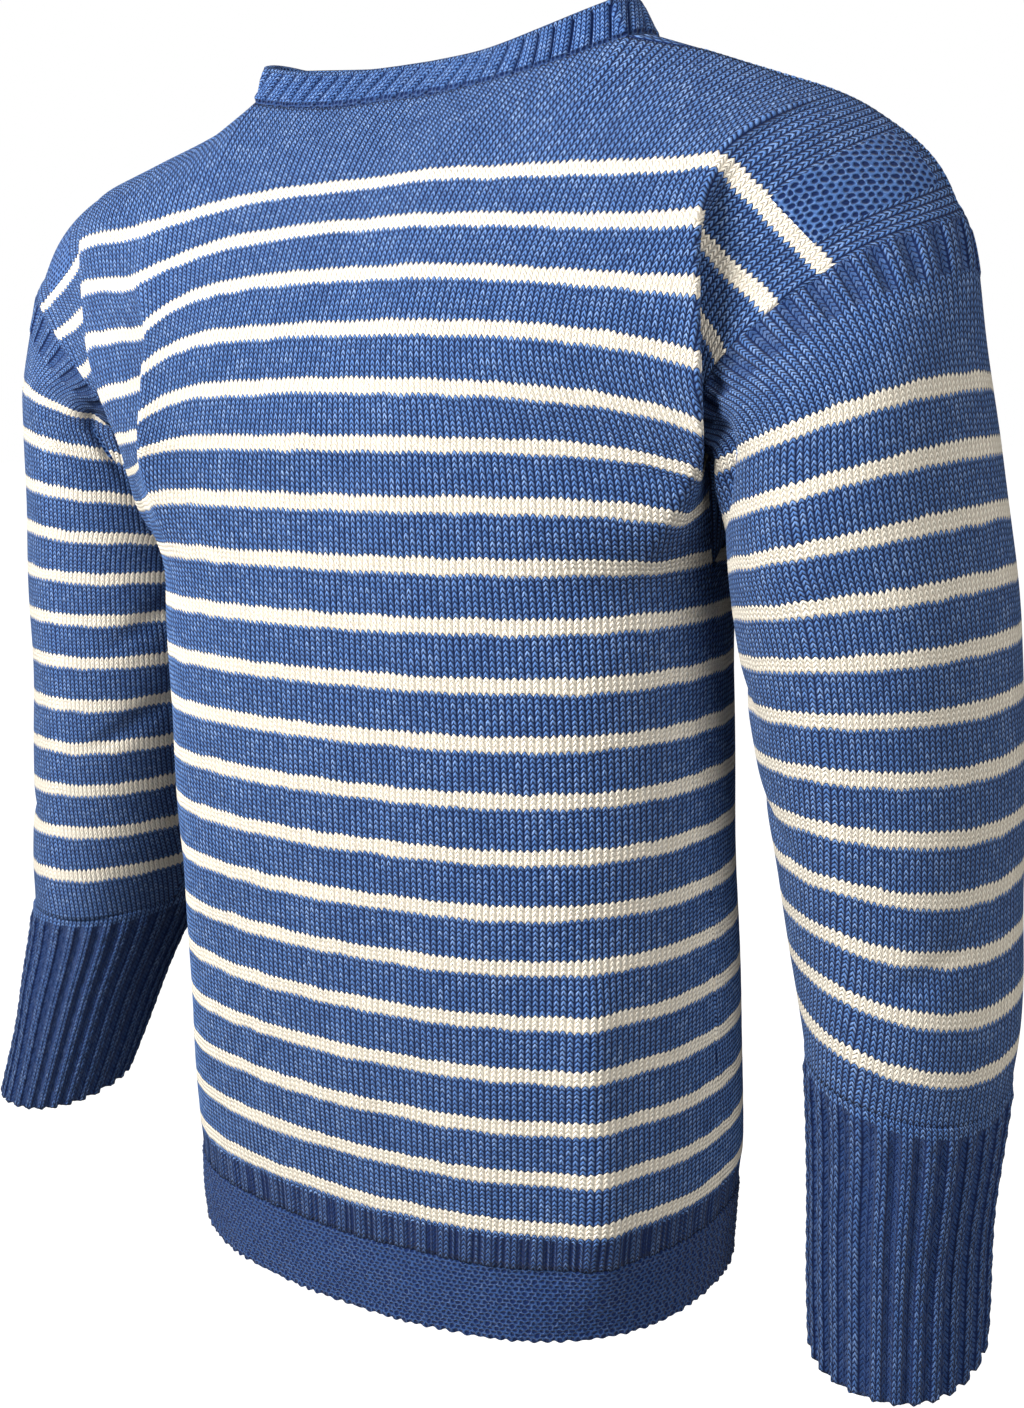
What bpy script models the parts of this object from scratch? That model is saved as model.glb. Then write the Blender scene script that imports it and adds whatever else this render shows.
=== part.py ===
"""Striped fisherman's jumper, filled out as if worn, with nobody in it.

Every piece is a knitted cloth wall on a surface worked out from the sizes
below.  Lengths inside the tables are counted in stripe repeats (one pale
stripe and one blue band, REPEAT metres).  Rows are counted down the cloth
from the top pale stripe, which is row 0.  +X is the wearer's left, the front
faces -Y, +Z is up, and the origin is the point between the two neck points
of the shoulder line.
"""
import bpy
import bmesh
import numpy as np

# ------------------------------------------------------------------ sizes
REPEAT = 0.027                 # height of one stripe repeat, 11 courses
WALL = 0.0026                  # thickness of the knitted cloth
ORIGIN = (0.0, 0.30, 1.90)     # neck point of the shoulders, in repeats
GAP = 0.00026                  # each piece stands back this far from a flat seam
GAP_SIDE = 0.00045             # the same down the sides, where the faceted walls meet at an angle
GAP_SHOULDER = 0.0010          # the same where two panels meet over the shoulder
GAP_NECK = 0.0008              # the same round the neck
GAP_ARMHOLE = 0.0012           # the same round the armhole, where the cloth turns
GAP_LOW_ARMHOLE = 0.0026       # and at its foot, where it turns most
GAP_GUSSET = 0.0020

ROW_TOP = -2.5                 # shoulder line, rows above the top stripe
ROW_UNDERARM = 5.3             # where the armhole ends and the gusset begins
ROW_GUSSET = 7.3               # lower tip of the underarm gusset
ROW_BODY_END = 19.85           # end of the ribbed band over the welt
ROW_WELT_END = 21.45
SLEEVE_SEAM, SLEEVE_TIP, SLEEVE_END, CUFF_END = -2.4, 2.4, 11.9, 16.5

NAME = "Fisherman_jumper"
BLUE = (0.075, 0.155, 0.36, 1.0)
DEEP_BLUE = (0.055, 0.115, 0.28, 1.0)

# ------------------------------------------------------------------ tables
# Each chest row is a curve from the middle to the armhole: depth and height of
# its middle, two handles, and the point where it ends.
CHEST_COLUMNS = ("row", "mid_y", "mid_z", "x1", "y1", "z1", "x2", "y2", "z2", "edge_x", "edge_y", "edge_z")
CHEST_FRONT_LEFT = (
    (0.0, -2.05, -0.50, 3.8, -2.35, -0.45, 7.7, -2.60, 0.00, 8.75, -1.80, -2.40),
    (1.0, -2.65, -1.28, 3.9, -2.95, -1.25, 7.5, -3.00, -0.85, 8.00, -2.15, -2.95),
    (2.0, -3.15, -2.14, 3.9, -3.40, -2.14, 7.3, -3.20, -1.85, 7.20, -2.30, -3.70),
    (3.0, -3.52, -3.06, 3.9, -3.75, -3.08, 7.0, -3.30, -2.95, 6.75, -2.10, -4.30),
    (4.0, -3.75, -4.02, 3.9, -3.90, -4.06, 6.6, -3.25, -4.08, 6.45, -1.75, -4.85),
)
CHEST_FRONT_RIGHT = (
    (0.0, -2.05, -0.50, 3.8, -2.35, -0.50, 7.2, -2.55, -0.55, 8.75, -1.80, -2.40),
    (1.0, -2.65, -1.28, 3.9, -2.95, -1.28, 7.1, -3.00, -1.35, 8.00, -2.15, -2.95),
    (2.0, -3.15, -2.14, 3.9, -3.40, -2.16, 6.9, -3.25, -2.25, 7.20, -2.30, -3.70),
    (3.0, -3.52, -3.06, 3.9, -3.75, -3.08, 6.7, -3.40, -3.20, 6.75, -2.10, -4.30),
    (4.0, -3.75, -4.02, 3.9, -3.90, -4.06, 6.4, -3.30, -4.20, 6.45, -1.75, -4.85),
)
CHEST_BACK = (
    (0.0, 2.90, -0.20, 3.8, 3.05, -0.25, 7.4, 2.85, -0.60, 8.75, 2.10, -2.40),
    (1.0, 3.35, -1.12, 3.9, 3.50, -1.15, 7.3, 3.25, -1.40, 8.00, 2.45, -2.95),
    (2.0, 3.65, -2.08, 3.9, 3.80, -2.08, 7.1, 3.50, -2.25, 7.20, 2.55, -3.70),
    (3.0, 3.85, -3.06, 3.9, 4.00, -3.05, 6.8, 3.55, -3.20, 6.75, 2.35, -4.30),
    (4.0, 3.95, -4.05, 3.9, 4.05, -4.08, 6.4, 3.40, -4.25, 6.45, 2.00, -4.85),
)
# Rings of the body below the armholes.
BODY_COLUMNS = ("row", "half_width", "front_y", "back_y", "side_y", "height")
BODY = (
    (5.3, 5.88, -3.90, 3.75, -0.05, -5.30),
    (6.3, 5.84, -3.92, 3.75, 0.00, -6.33),
    (7.3, 5.80, -3.92, 3.75, 0.00, -7.37),
    (9.0, 5.76, -3.94, 3.75, 0.02, -9.10),
    (12.0, 5.76, -3.94, 3.85, 0.10, -12.12),
    (15.0, 5.80, -3.92, 4.00, 0.20, -15.12),
    (17.5, 5.86, -3.86, 4.10, 0.28, -17.58),
    (19.0, 5.88, -3.80, 4.12, 0.33, -19.03),
    (19.85, 5.80, -3.78, 4.10, 0.35, -19.87),
    (20.6, 5.76, -3.80, 4.10, 0.36, -20.55),
    (21.5, 5.64, -3.74, 4.08, 0.38, -21.38),
)
# Neck edge of each panel, middle to corner, and the shoulder line to the armhole.
NECK = {
    ("front", "left"): ((0.0, -0.45, 1.18), (1.5, -0.50, 1.24), (3.0, -0.38, 1.48), (4.25, -0.12, 1.78)),
    ("front", "right"): ((0.0, -0.45, 1.18), (1.5, -0.50, 1.16), (3.0, -0.38, 1.28), (4.20, -0.12, 1.50)),
    ("back", "left"): ((0.0, 2.20, 1.60), (1.5, 2.12, 1.62), (3.0, 1.70, 1.74), (4.25, 1.00, 1.84)),
    ("back", "right"): ((0.0, 2.20, 1.60), (1.5, 2.12, 1.58), (3.0, 1.70, 1.60), (4.20, 1.00, 1.60)),
}
# The right shoulder hangs a little lower and runs out straighter.
SHOULDER = {
    "left": ((5.45, 0.30, 1.50), (6.93, 0.30, 0.95), (8.60, 0.30, 0.18), (9.62, 0.30, -0.70), (10.05, 0.30, -1.50)),
    "right": ((5.35, 0.30, 1.14), (6.90, 0.30, 0.66), (8.60, 0.30, 0.10), (9.75, 0.30, -0.68), (10.15, 0.30, -1.50)),
}
# Sleeve rings: centre, half width, half depth, rise outward, rise backward, drop on the body side.
SLEEVE_COLUMNS = ("row", "x", "y", "z", "half_width", "half_depth", "rise_out", "rise_back", "inner_drop")
SLEEVE_LEFT = (
    (0.0, 8.60, -0.10, -4.80, 1.93, 2.62, 0.36, 0.00, 1.00),
    (1.5, 8.62, 0.28, -6.20, 2.05, 2.80, 0.26, 0.00, 0.65),
    (3.0, 8.68, 0.65, -7.60, 2.12, 2.90, 0.15, 0.00, 0.30),
    (6.0, 8.82, 1.25, -10.40, 2.08, 2.90, -0.03, 0.00, 0.00),
    (9.0, 8.92, 1.70, -13.40, 1.92, 2.70, -0.22, 0.00, 0.00),
    (11.0, 9.04, 1.85, -15.50, 1.82, 2.45, -0.32, 0.02, 0.00),
    (11.9, 9.08, 1.85, -16.45, 1.70, 2.25, -0.30, 0.05, 0.00),
    (14.2, 9.15, 1.55, -19.00, 1.50, 2.05, -0.20, 0.08, 0.00),
    (16.5, 9.32, 1.05, -21.60, 1.42, 1.92, -0.12, 0.10, 0.00),
)
SLEEVE_RIGHT = (
    (0.0, 8.12, -0.05, -4.55, 1.66, 2.58, 0.25, 0.02, 1.00),
    (1.5, 8.34, 0.38, -5.90, 1.85, 2.75, 0.16, 0.04, 0.65),
    (3.0, 8.60, 0.70, -7.22, 2.02, 2.85, 0.08, 0.05, 0.30),
    (6.0, 9.15, 1.15, -10.00, 2.08, 2.90, 0.02, 0.05, 0.00),
    (9.0, 10.00, 1.48, -13.02, 1.92, 2.70, 0.00, 0.05, 0.00),
    (11.0, 10.68, 1.60, -15.15, 1.80, 2.45, 0.00, 0.05, 0.00),
    (11.9, 11.00, 1.55, -16.10, 1.68, 2.20, 0.00, 0.06, 0.00),
    (14.2, 11.65, 1.05, -18.45, 1.36, 1.85, 0.03, 0.08, 0.00),
    (16.5, 12.22, 0.45, -20.90, 1.20, 1.65, 0.05, 0.10, 0.00),
)
# Large folds of the panels: rows they start and end on, distance from the
# middle at both ends, width and height (minus is a trough), side of the body.
FOLD_COLUMNS = ("row_from", "row_to", "at_from", "at_to", "width", "height", "side")
FOLDS_FRONT = (
    (-0.9, 6.3, 7.15, 6.35, 0.55, 0.26, 1),
    (-0.4, 5.2, 8.05, 6.95, 0.42, -0.30, 1),
    (-0.9, 5.2, 7.15, 6.50, 0.55, 0.22, -1),
    (-0.4, 5.2, 8.00, 7.05, 0.42, -0.26, -1),
    (2.4, 6.2, 5.75, 5.30, 0.40, -0.12, -1),
    (12.5, 20.5, 5.25, 5.70, 0.55, -0.18, -1),
    (13.5, 21.2, 5.05, 5.25, 0.50, 0.20, 1),
)
FOLDS_BACK = (
    (-0.6, 5.2, 7.10, 6.45, 0.55, 0.24, 1),
    (-0.2, 5.0, 8.00, 7.05, 0.42, -0.26, 1),
    (-0.6, 5.2, 7.10, 6.45, 0.55, 0.24, -1),
    (-0.2, 5.0, 8.00, 7.05, 0.42, -0.26, -1),
    (6.5, 16.0, 3.00, 3.60, 0.70, -0.16, 1),
    (8.5, 18.5, 3.20, 2.60, 0.70, -0.15, -1),
)

# Grid lines.  The panels share their rows with the sleeve and the gusset, so
# that the edges that are sewn together run through the same points.
ROWS_ARMHOLE = (-2.5, -1.7, -0.9, -0.2, 0.6, 1.4, 2.2, 3.0, 3.8, 4.6, 5.3)
ROWS_GUSSET = (5.8, 6.3, 6.8, 7.3)
ROWS_BODY = (8.4, 9.7, 11.0, 12.3, 13.6, 14.9, 16.1, 17.3, 18.5, 19.2, 19.85)
NECK_STEPS, NECK_GUSSET_STEPS, SHOULDER_STEPS = 5, 2, 5
NECK_SHARE, GUSSET_SHARE = 0.39, 0.50
SLEEVE_ROWS = (-2.4, -1.65, -0.8, 0.2, 1.3, 2.4, 3.8, 5.3, 6.8, 8.3, 9.7, 10.9, 11.9)
CUFF_ROWS = (11.9, 13.3, 14.9, 16.5)
WELT_ROWS = (19.85, 20.6, 21.45)


# ------------------------------------------------------------------ curves
def through(table, x):
    """Columns of a table at x, on a smooth curve through its rows."""
    t = np.asarray(table, float)
    k, v = t[:, 0], t[:, 1:]
    h = (k[1:] - k[:-1])[:, None]
    d = (v[1:] - v[:-1]) / h
    m = np.vstack([d[:1], (d[:-1] * h[1:] + d[1:] * h[:-1]) / (h[1:] + h[:-1]), d[-1:]])
    i = int(np.clip(np.searchsorted(k, x, side="right") - 1, 0, len(k) - 2))
    w = k[i + 1] - k[i]
    s = (x - k[i]) / w
    return ((1 + 2 * s) * (1 - s) ** 2 * v[i] + s * (1 - s) ** 2 * w * m[i]
            + s * s * (3 - 2 * s) * v[i + 1] + s * s * (s - 1) * w * m[i + 1])


def along(points, shares):
    """Points at the given shares of a polyline's length."""
    q = np.asarray(points, float)
    s = np.r_[0, np.cumsum(np.linalg.norm(np.diff(q, axis=0), axis=1))]
    w = np.asarray(shares, float) * s[-1]
    return np.stack([np.interp(w, s, q[:, c]) for c in range(3)], 1)


def smooth(x):
    x = np.clip(x, 0.0, 1.0)
    return x * x * (3 - 2 * x)


def bezier(a, b, c, d, n=97):
    t = np.linspace(0, 1, n)[:, None]
    return (1 - t) ** 3 * a + 3 * t * (1 - t) ** 2 * b + 3 * t * t * (1 - t) * c + t ** 3 * d


# ------------------------------------------------------------------ the body
def body_row(face, row):
    """Middle, two handles and end of a body row, as in the chest table."""
    a, front, back, side, z = through(BODY, row)
    y = front if face == "front" else back
    part = smooth((ROW_GUSSET - row) / (ROW_GUSSET - ROW_UNDERARM))
    corner = -1.20 if face == "front" else 1.45
    edge_y = side + (corner - side) * part
    edge_x = a + 0.42 * part
    return (row, y, z, 0.69 * a, y, z, edge_x + 0.02,
            side + 0.69 * (y - side) + 0.25 * (edge_y - side), z, edge_x, edge_y, z)


def row_table(face, hand):
    chest = CHEST_BACK if face == "back" else CHEST_FRONT_LEFT if hand == "left" else CHEST_FRONT_RIGHT
    rows = (5.3, 6.3, 7.3, 8.5, 10.5, 12.5, 14.5, 16.5, 18.0, 19.0, 19.85, 20.6, 21.5)
    return list(chest) + [body_row(face, r) for r in rows]


ROW_TABLE = {(f, h): row_table(f, h) for f in ("front", "back") for h in ("left", "right")}


def half_row(face, row, shares, hand="left"):
    """A half row, middle to edge, at shares of its length, drawn as on +X."""
    q = through(ROW_TABLE[face, hand], row)
    curve = bezier(np.array((0.0, q[0], q[1])), q[2:5], q[5:8], q[8:11])
    return along(curve, shares), float(np.linalg.norm(np.diff(curve, axis=0), axis=1).sum())


def top_edge(face, shares, hand="left"):
    """Neck, gusset edge and shoulder line of half a panel, drawn as on +X.  The
    three stretches take fixed shares of the columns, so both panels meet."""
    neck, shoulder = NECK[face, hand], SHOULDER[hand]
    table = [(p[0],) + p for p in neck]
    curve = [through(table, x) for x in np.linspace(0, neck[-1][0], 25)]
    apex = np.array(shoulder[0])
    length = np.r_[0, np.cumsum(np.linalg.norm(np.diff(np.array(shoulder), axis=0), axis=1))]
    line = [(s,) + p for s, p in zip(length, shoulder)]
    seam = [through(line, s) for s in np.linspace(0, length[-1], 33)]
    out = []
    for u in shares:
        if u <= NECK_SHARE:
            out.append(along(curve, [u / NECK_SHARE])[0])
        elif u <= GUSSET_SHARE:
            t = (u - NECK_SHARE) / (GUSSET_SHARE - NECK_SHARE)
            out.append(np.array(neck[-1]) * (1 - t) + apex * t)
        else:
            out.append(along(seam, [(u - GUSSET_SHARE) / (1 - GUSSET_SHARE)])[0])
    return np.array(out)


def panel_half(face, rows, shares, hand="left"):
    """Rows x shares of points on half a panel, without folds, drawn as on +X."""
    shares = np.asarray(shares, float)
    top = top_edge(face, shares, hand)
    r0 = half_row(face, 0.0, shares, hand)[0]
    up = (r0 - half_row(face, 0.05, shares, hand)[0]) / 0.05
    sign = 1.0 if face == "front" else -1.0
    w = smooth((shares - 0.30) / 0.35)[:, None]
    over = (1 - w) * np.array((0.0, 0.75 * sign, 0.62)) + w * np.array((0.0, sign, 0.25))
    h = -ROW_TOP
    out = []
    for row in rows:
        if row >= 0:
            out.append(half_row(face, row, shares, hand)[0])
        else:
            t = row / ROW_TOP
            out.append((1 + 2 * t) * (1 - t) ** 2 * r0 + t * (1 - t) ** 2 * h * up
                       + t * t * (3 - 2 * t) * top + t * t * (t - 1) * h * over)
    return np.array(out)


def fold_height(face, side, row, at, length):
    """Height of the folds at a distance from the middle of a row."""
    total = 0.0
    for r0, r1, a0, a1, width, height, where in (FOLDS_FRONT if face == "front" else FOLDS_BACK):
        if where != side or not r0 < row < r1:
            continue
        t = (row - r0) / (r1 - r0)
        centre = a0 + (a1 - a0) * t
        fade = smooth(4 * t) * smooth(4 * (1 - t)) * smooth((length - at) / 0.5)
        total += height * fade * np.exp(-((at - centre) / width) ** 2)
    return total


def normals_of(grid):
    du = np.gradient(grid, axis=1)
    dr = np.gradient(grid, axis=0)
    n = np.cross(du, dr)
    return n / np.maximum(np.linalg.norm(n, axis=2, keepdims=True), 1e-9)


def half_shares():
    return np.r_[np.linspace(0, NECK_SHARE, NECK_STEPS + 1),
                 np.linspace(NECK_SHARE, GUSSET_SHARE, NECK_GUSSET_STEPS + 1)[1:],
                 np.linspace(GUSSET_SHARE, 1, SHOULDER_STEPS + 1)[1:]]


def panel(face, rows, shares):
    """Points of a whole panel, from the wearer's right to the left."""
    left = panel_half(face, rows, shares, "left")
    right = panel_half(face, rows, shares, "right") * np.array((-1.0, 1.0, 1.0))
    halves = []
    for side, half in ((-1, right), (1, left)):
        n = normals_of(half)
        facing = -1.0 if face == "front" else 1.0
        n *= np.sign((n[:, :, 1:2].mean() or 1.0) * facing)
        moved = half.copy()
        for i, row in enumerate(rows):
            seg = np.linalg.norm(np.diff(half[i], axis=0), axis=1)
            at = np.r_[0, np.cumsum(seg)]
            for j in range(len(shares)):
                moved[i, j] += n[i, j] * fold_height(face, side, row, at[j], at[-1])
        halves.append(moved)
    return np.concatenate([halves[0][:, ::-1], halves[1][:, 1:]], axis=1)


# ------------------------------------------------------------------ the sleeves
def sleeve_table(hand):
    return SLEEVE_LEFT if hand == "left" else SLEEVE_RIGHT


def ring_point(hand, row, angle):
    """Angle 0 is the body side, a quarter turn the front, a half the outside."""
    x, y, z, rx, ry, out, back, drop = through(sleeve_table(hand), row)
    c, s = -np.cos(angle), -np.sin(angle)
    power = 2 / 2.25
    ex = np.sign(c) * abs(c) ** power * rx
    ey = np.sign(s) * abs(s) ** power * ry
    near = abs((angle + 0.25 + np.pi) % (2 * np.pi) - np.pi)
    return np.array((x + ex, y + ey, z + ex * out + ey * back - drop * np.exp(-(near / 0.62) ** 2)))


def slit(row):
    """Half angle of the opening for the gusset, which closes at its tip."""
    t = np.clip((SLEEVE_TIP - row) / SLEEVE_TIP, 0, 1.6)
    return 0.004 + 0.42 * t


def armhole_points(hand):
    """Round the armhole, from the gusset's front corner over the top to its back."""
    rows = ROWS_ARMHOLE[::-1]
    front = panel_half("front", rows, [0, 1], hand)[:, 1]
    back = panel_half("back", rows[::-1], [0, 1], hand)[:, 1]
    return np.concatenate([front, back[1:]])


def sleeve(hand, rows):
    """Rows x columns of a sleeve, drawn as on +X; the right one is mirrored later."""
    start = armhole_points(hand)
    n = len(start)
    first = [r for r in rows if r < 0]
    out = []
    angles = lambda row: slit(row) + (2 * np.pi - 2 * slit(row)) * np.linspace(0, 1, n)
    for row in rows:
        if row >= 0:
            out.append([ring_point(hand, row, a) for a in angles(row)])
        else:
            t = (row - SLEEVE_SEAM) / (0 - SLEEVE_SEAM)
            line = []
            for p, a in zip(start, angles(0.0)):
                end = ring_point(hand, 0.0, a)
                slope = (ring_point(hand, 0.3, a) - end) / 0.3 * (0 - SLEEVE_SEAM)
                away = (end - p) * 0.9 + np.array((0.55, 0.0, 0.0)) * (1 - np.cos(a)) * 0.5
                line.append((1 + 2 * t) * (1 - t) ** 2 * p + t * (1 - t) ** 2 * away
                            + t * t * (3 - 2 * t) * end + t * t * (t - 1) * slope)
            out.append(line)
    return np.array(out)


def underarm_gusset(hand):
    """A diamond between both panels and the two edges of the sleeve."""
    rows = (ROW_UNDERARM,) + ROWS_GUSSET
    front = panel_half("front", rows, [0, 1], hand)[:, 1]
    back = panel_half("back", rows, [0, 1], hand)[:, 1]
    arm = sleeve(hand, [r for r in SLEEVE_ROWS if r <= SLEEVE_TIP])
    n = 5
    steps = np.linspace(0, 1, n)
    body_front, body_back = along(front[::-1], steps), along(back[::-1], steps)
    arm_front, arm_back = along(arm[:, 0], steps), along(arm[:, -1], steps)
    tip_arm = (arm_front[-1] + arm_back[-1]) / 2
    grid = np.zeros((n, n, 3))
    for i, a in enumerate(steps):          # a: body tip to the front corner
        for j, b in enumerate(steps):      # b: body tip to the back corner
            p = ((1 - b) * body_front[i] + b * arm_back_edge(arm_back, a)
                 + (1 - a) * body_back[j] + a * arm_front_edge(arm_front, b)
                 - (1 - a) * (1 - b) * body_front[0] - a * (1 - b) * body_front[-1]
                 - (1 - a) * b * body_back[-1] - a * b * tip_arm)
            lift = 16 * a * (1 - a) * b * (1 - b)
            grid[i, j] = p + np.array((0.0, 0.0, 0.42 * lift))
    return grid


def arm_back_edge(points, a):
    return along(points, [a])[0]


def arm_front_edge(points, b):
    return along(points, [b])[0]


# ------------------------------------------------------------------ the neck
def neck_gusset(hand):
    """A small triangle let into the end of a shoulder line, drawn as on +X."""
    front = top_edge("front", np.linspace(NECK_SHARE, GUSSET_SHARE, NECK_GUSSET_STEPS + 1), hand)
    back = top_edge("back", np.linspace(NECK_SHARE, GUSSET_SHARE, NECK_GUSSET_STEPS + 1), hand)
    front[-1] += (0.0, -0.05, 0.0)
    back[-1] += (0.0, 0.05, 0.0)
    grid = []
    for k in range(NECK_GUSSET_STEPS + 1):
        wide = 1 - k / NECK_GUSSET_STEPS
        row = []
        for b in np.linspace(0, 1, 3):
            p = front[k] * (1 - b) + back[k] * b
            row.append(p + np.array((0.14, 0.0, 0.07)) * 4 * b * (1 - b) * wide)
        grid.append(row)
    return np.array(grid)


def collar_ring():
    """Foot and top of the collar band round the neck, front middle first."""
    shares = np.linspace(0, NECK_SHARE, NECK_STEPS + 1)
    halves = []
    for hand in ("left", "right"):
        front, back = top_edge("front", shares, hand), top_edge("back", shares, hand)
        halves.append(np.concatenate([front, neck_gusset(hand)[0][1:-1], back[::-1]]))
    ring = np.concatenate([halves[0], (halves[1][::-1] * np.array((-1.0, 1.0, 1.0)))[1:-1]])
    lean = []
    for p in ring:
        w = smooth(abs(p[0]) / 4.4)
        to_back = smooth((p[1] + 0.3) / 2.0)
        middle = (1 - to_back) * np.array((0.0, 0.52, 0.66)) + to_back * np.array((0.0, -0.30, 0.62))
        side_lean = np.array((-0.36 * np.sign(p[0]), -0.02, 0.64))
        lean.append((1 - w) * middle + w * side_lean)
    return ring, np.array(lean)


# ------------------------------------------------------------------ solids
def place(points):
    return (np.asarray(points, float) - np.array(ORIGIN)) * REPEAT


def draw_back(grid, gaps):
    """Pull the grid's edges back from their seams.
    gaps: (first row, last row, first column, last column), or None for none;
    a list gives one gap for each point of the edge."""
    g = grid.copy()
    sides = ((0, 1, 0, gaps[0]), (0, -2, -1, gaps[1]), (1, 1, 0, gaps[2]), (1, -2, -1, gaps[3]))
    for axis, inner, edge, gap in sides:
        if gap is None:
            continue
        e = grid[edge] if axis == 0 else grid[:, edge]
        i = grid[inner] if axis == 0 else grid[:, inner]
        d = i - e
        d /= np.maximum(np.linalg.norm(d, axis=1, keepdims=True), 1e-9)
        move = d * np.broadcast_to(np.asarray(gap, float), len(d))[:, None]
        if axis == 0:
            g[edge] += move
        else:
            g[:, edge] += move
    return g


def material(name, colour):
    m = bpy.data.materials.new(name)
    m.use_nodes = True
    p = m.node_tree.nodes["Principled BSDF"]
    p.inputs["Base Color"].default_value = colour
    p.inputs["Roughness"].default_value = 0.95
    p.inputs["Metallic"].default_value = 0.0
    return m


def cloth(name, grid, colour, collection, outward, closed=False):
    """A knitted wall on a grid of points.  outward(centre) says which way the
    face of the cloth looks, so that the wall is never inside out."""
    rows, cols = grid.shape[:2]
    bm = bmesh.new()
    bmesh.ops.create_grid(bm, x_segments=cols - 1, y_segments=rows - 1, size=1.0)
    for v in bm.verts:
        j = int(round((v.co.x + 1) / 2 * (cols - 1)))
        i = int(round((v.co.y + 1) / 2 * (rows - 1)))
        v.co = grid[i, j]
    if closed:
        bmesh.ops.remove_doubles(bm, verts=bm.verts, dist=0.0001)
    bm.normal_update()
    f = max(bm.faces, key=lambda q: q.calc_area())
    c = f.calc_center_median()
    if f.normal.dot(outward(c)) < 0:
        bmesh.ops.reverse_faces(bm, faces=bm.faces)
    mesh = bpy.data.meshes.new(name)
    bm.to_mesh(mesh)
    bm.free()
    mesh.shade_smooth()
    obj = bpy.data.objects.new(name, mesh)
    obj.data.materials.append(material(name, colour))
    wall = obj.modifiers.new("Cloth", "SOLIDIFY")
    wall.thickness = WALL
    wall.offset = 0.0
    collection.objects.link(obj)
    return obj


def mirrored(grid):
    return grid * np.array((-1.0, 1.0, 1.0))


def main():
    for old in list(bpy.data.objects):
        bpy.data.objects.remove(old, do_unlink=True)
    collection = bpy.data.collections.new(NAME)
    bpy.context.scene.collection.children.link(collection)
    from mathutils import Vector

    body_axis = lambda c: Vector((c.x, c.y - 0.002, 0.0))
    rows = ROWS_ARMHOLE + ROWS_GUSSET + ROWS_BODY
    shares = half_shares()
    cols = len(shares) * 2 - 1

    # panels: gap round the armhole and at the gusset, a hairline at the sides
    edge_gap = [GAP_ARMHOLE if r <= 2.5 else GAP_LOW_ARMHOLE if r <= ROW_UNDERARM else GAP_GUSSET if r <= ROW_GUSSET else GAP_SIDE for r in rows]
    neck_cols = np.abs(np.arange(cols) - (cols - 1) // 2)
    top_gap = [GAP_NECK if k < NECK_STEPS + NECK_GUSSET_STEPS else GAP_SHOULDER for k in neck_cols]
    for face, colour in (("front", BLUE), ("back", BLUE)):
        g = draw_back(place(panel(face, rows, shares)), (top_gap, GAP, edge_gap, edge_gap))
        cloth(face + "_panel", g, colour, collection, body_axis)
        w = draw_back(place(panel(face, WELT_ROWS, shares)), (GAP, None, GAP_SIDE * 1.5, GAP_SIDE * 1.5))
        cloth(face + "_welt", w, DEEP_BLUE, collection, body_axis)

    for hand, flip in (("left", 1.0), ("right", -1.0)):
        turn = np.array((flip, 1.0, 1.0))
        arm = sleeve(hand, SLEEVE_ROWS)
        centre = place(arm[6]).mean(axis=0) * turn
        seam = [GAP_GUSSET if r <= SLEEVE_TIP else GAP_SIDE for r in SLEEVE_ROWS]
        low = [GAP_ARMHOLE if r <= 2.5 else GAP_LOW_ARMHOLE for r in ROWS_ARMHOLE]
        g = draw_back(place(arm) * turn, (low[::-1] + low[1:], GAP * 2, seam, seam))
        arm_axis = lambda c, m=centre: Vector((c.x - m[0], c.y - m[1], 0.0))
        cloth("sleeve_" + hand, g, BLUE, collection, arm_axis)

        n = arm.shape[1]
        turns = np.linspace(0, 2 * np.pi, n)
        cuff = np.array([[ring_point(hand, r, a) for a in turns] for r in CUFF_ROWS])
        g = draw_back(place(cuff) * turn, (GAP * 2, None, None, None))
        middle = g[1].mean(axis=0)
        cuff_axis = lambda c, m=middle: Vector((c.x - m[0], c.y - m[1], 0.0))
        cloth("cuff_" + hand, g, BLUE, collection, cuff_axis, closed=True)

        g = place(underarm_gusset(hand)) * turn
        g = draw_back(g, (GAP_GUSSET,) * 4)
        cloth("underarm_gusset_" + hand, g, BLUE, collection, lambda c: Vector((0.0, 0.0, -1.0)))

        g = place(neck_gusset(hand)) * turn
        g = draw_back(g, (GAP_NECK, GAP_SHOULDER, GAP_SHOULDER, GAP_SHOULDER))
        cloth("neck_gusset_" + hand, g, BLUE, collection, lambda c: Vector((0.0, 0.0, 1.0)))

    ring, lean = collar_ring()
    ring, lean = np.vstack([ring, ring[:1]]), np.vstack([lean, lean[:1]])
    g = np.array([ring + lean * t for t in (0.0, 0.5, 1.0)])
    g = draw_back(place(g), (GAP_NECK, None, None, None))
    cloth("collar_band", g, BLUE, collection, lambda c: Vector((c.x * 0.2, c.y - 0.02, 0.0)), closed=True)


main()
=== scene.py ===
"""Striped fisherman's jumper: the look of every knitted piece.

Each piece is a thin knitted shell on the same surface as its solid.  Lengths
in the tables are counted in stripe repeats (one pale stripe and one blue band),
rows run down the cloth from the top pale stripe, which is row 0, and stitch
columns (wales) run down the cloth from edge to edge.
"""
import math

import bpy
import numpy as np
from bpy.props import FloatProperty, FloatVectorProperty, PointerProperty
from mathutils import Matrix, Vector


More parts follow.
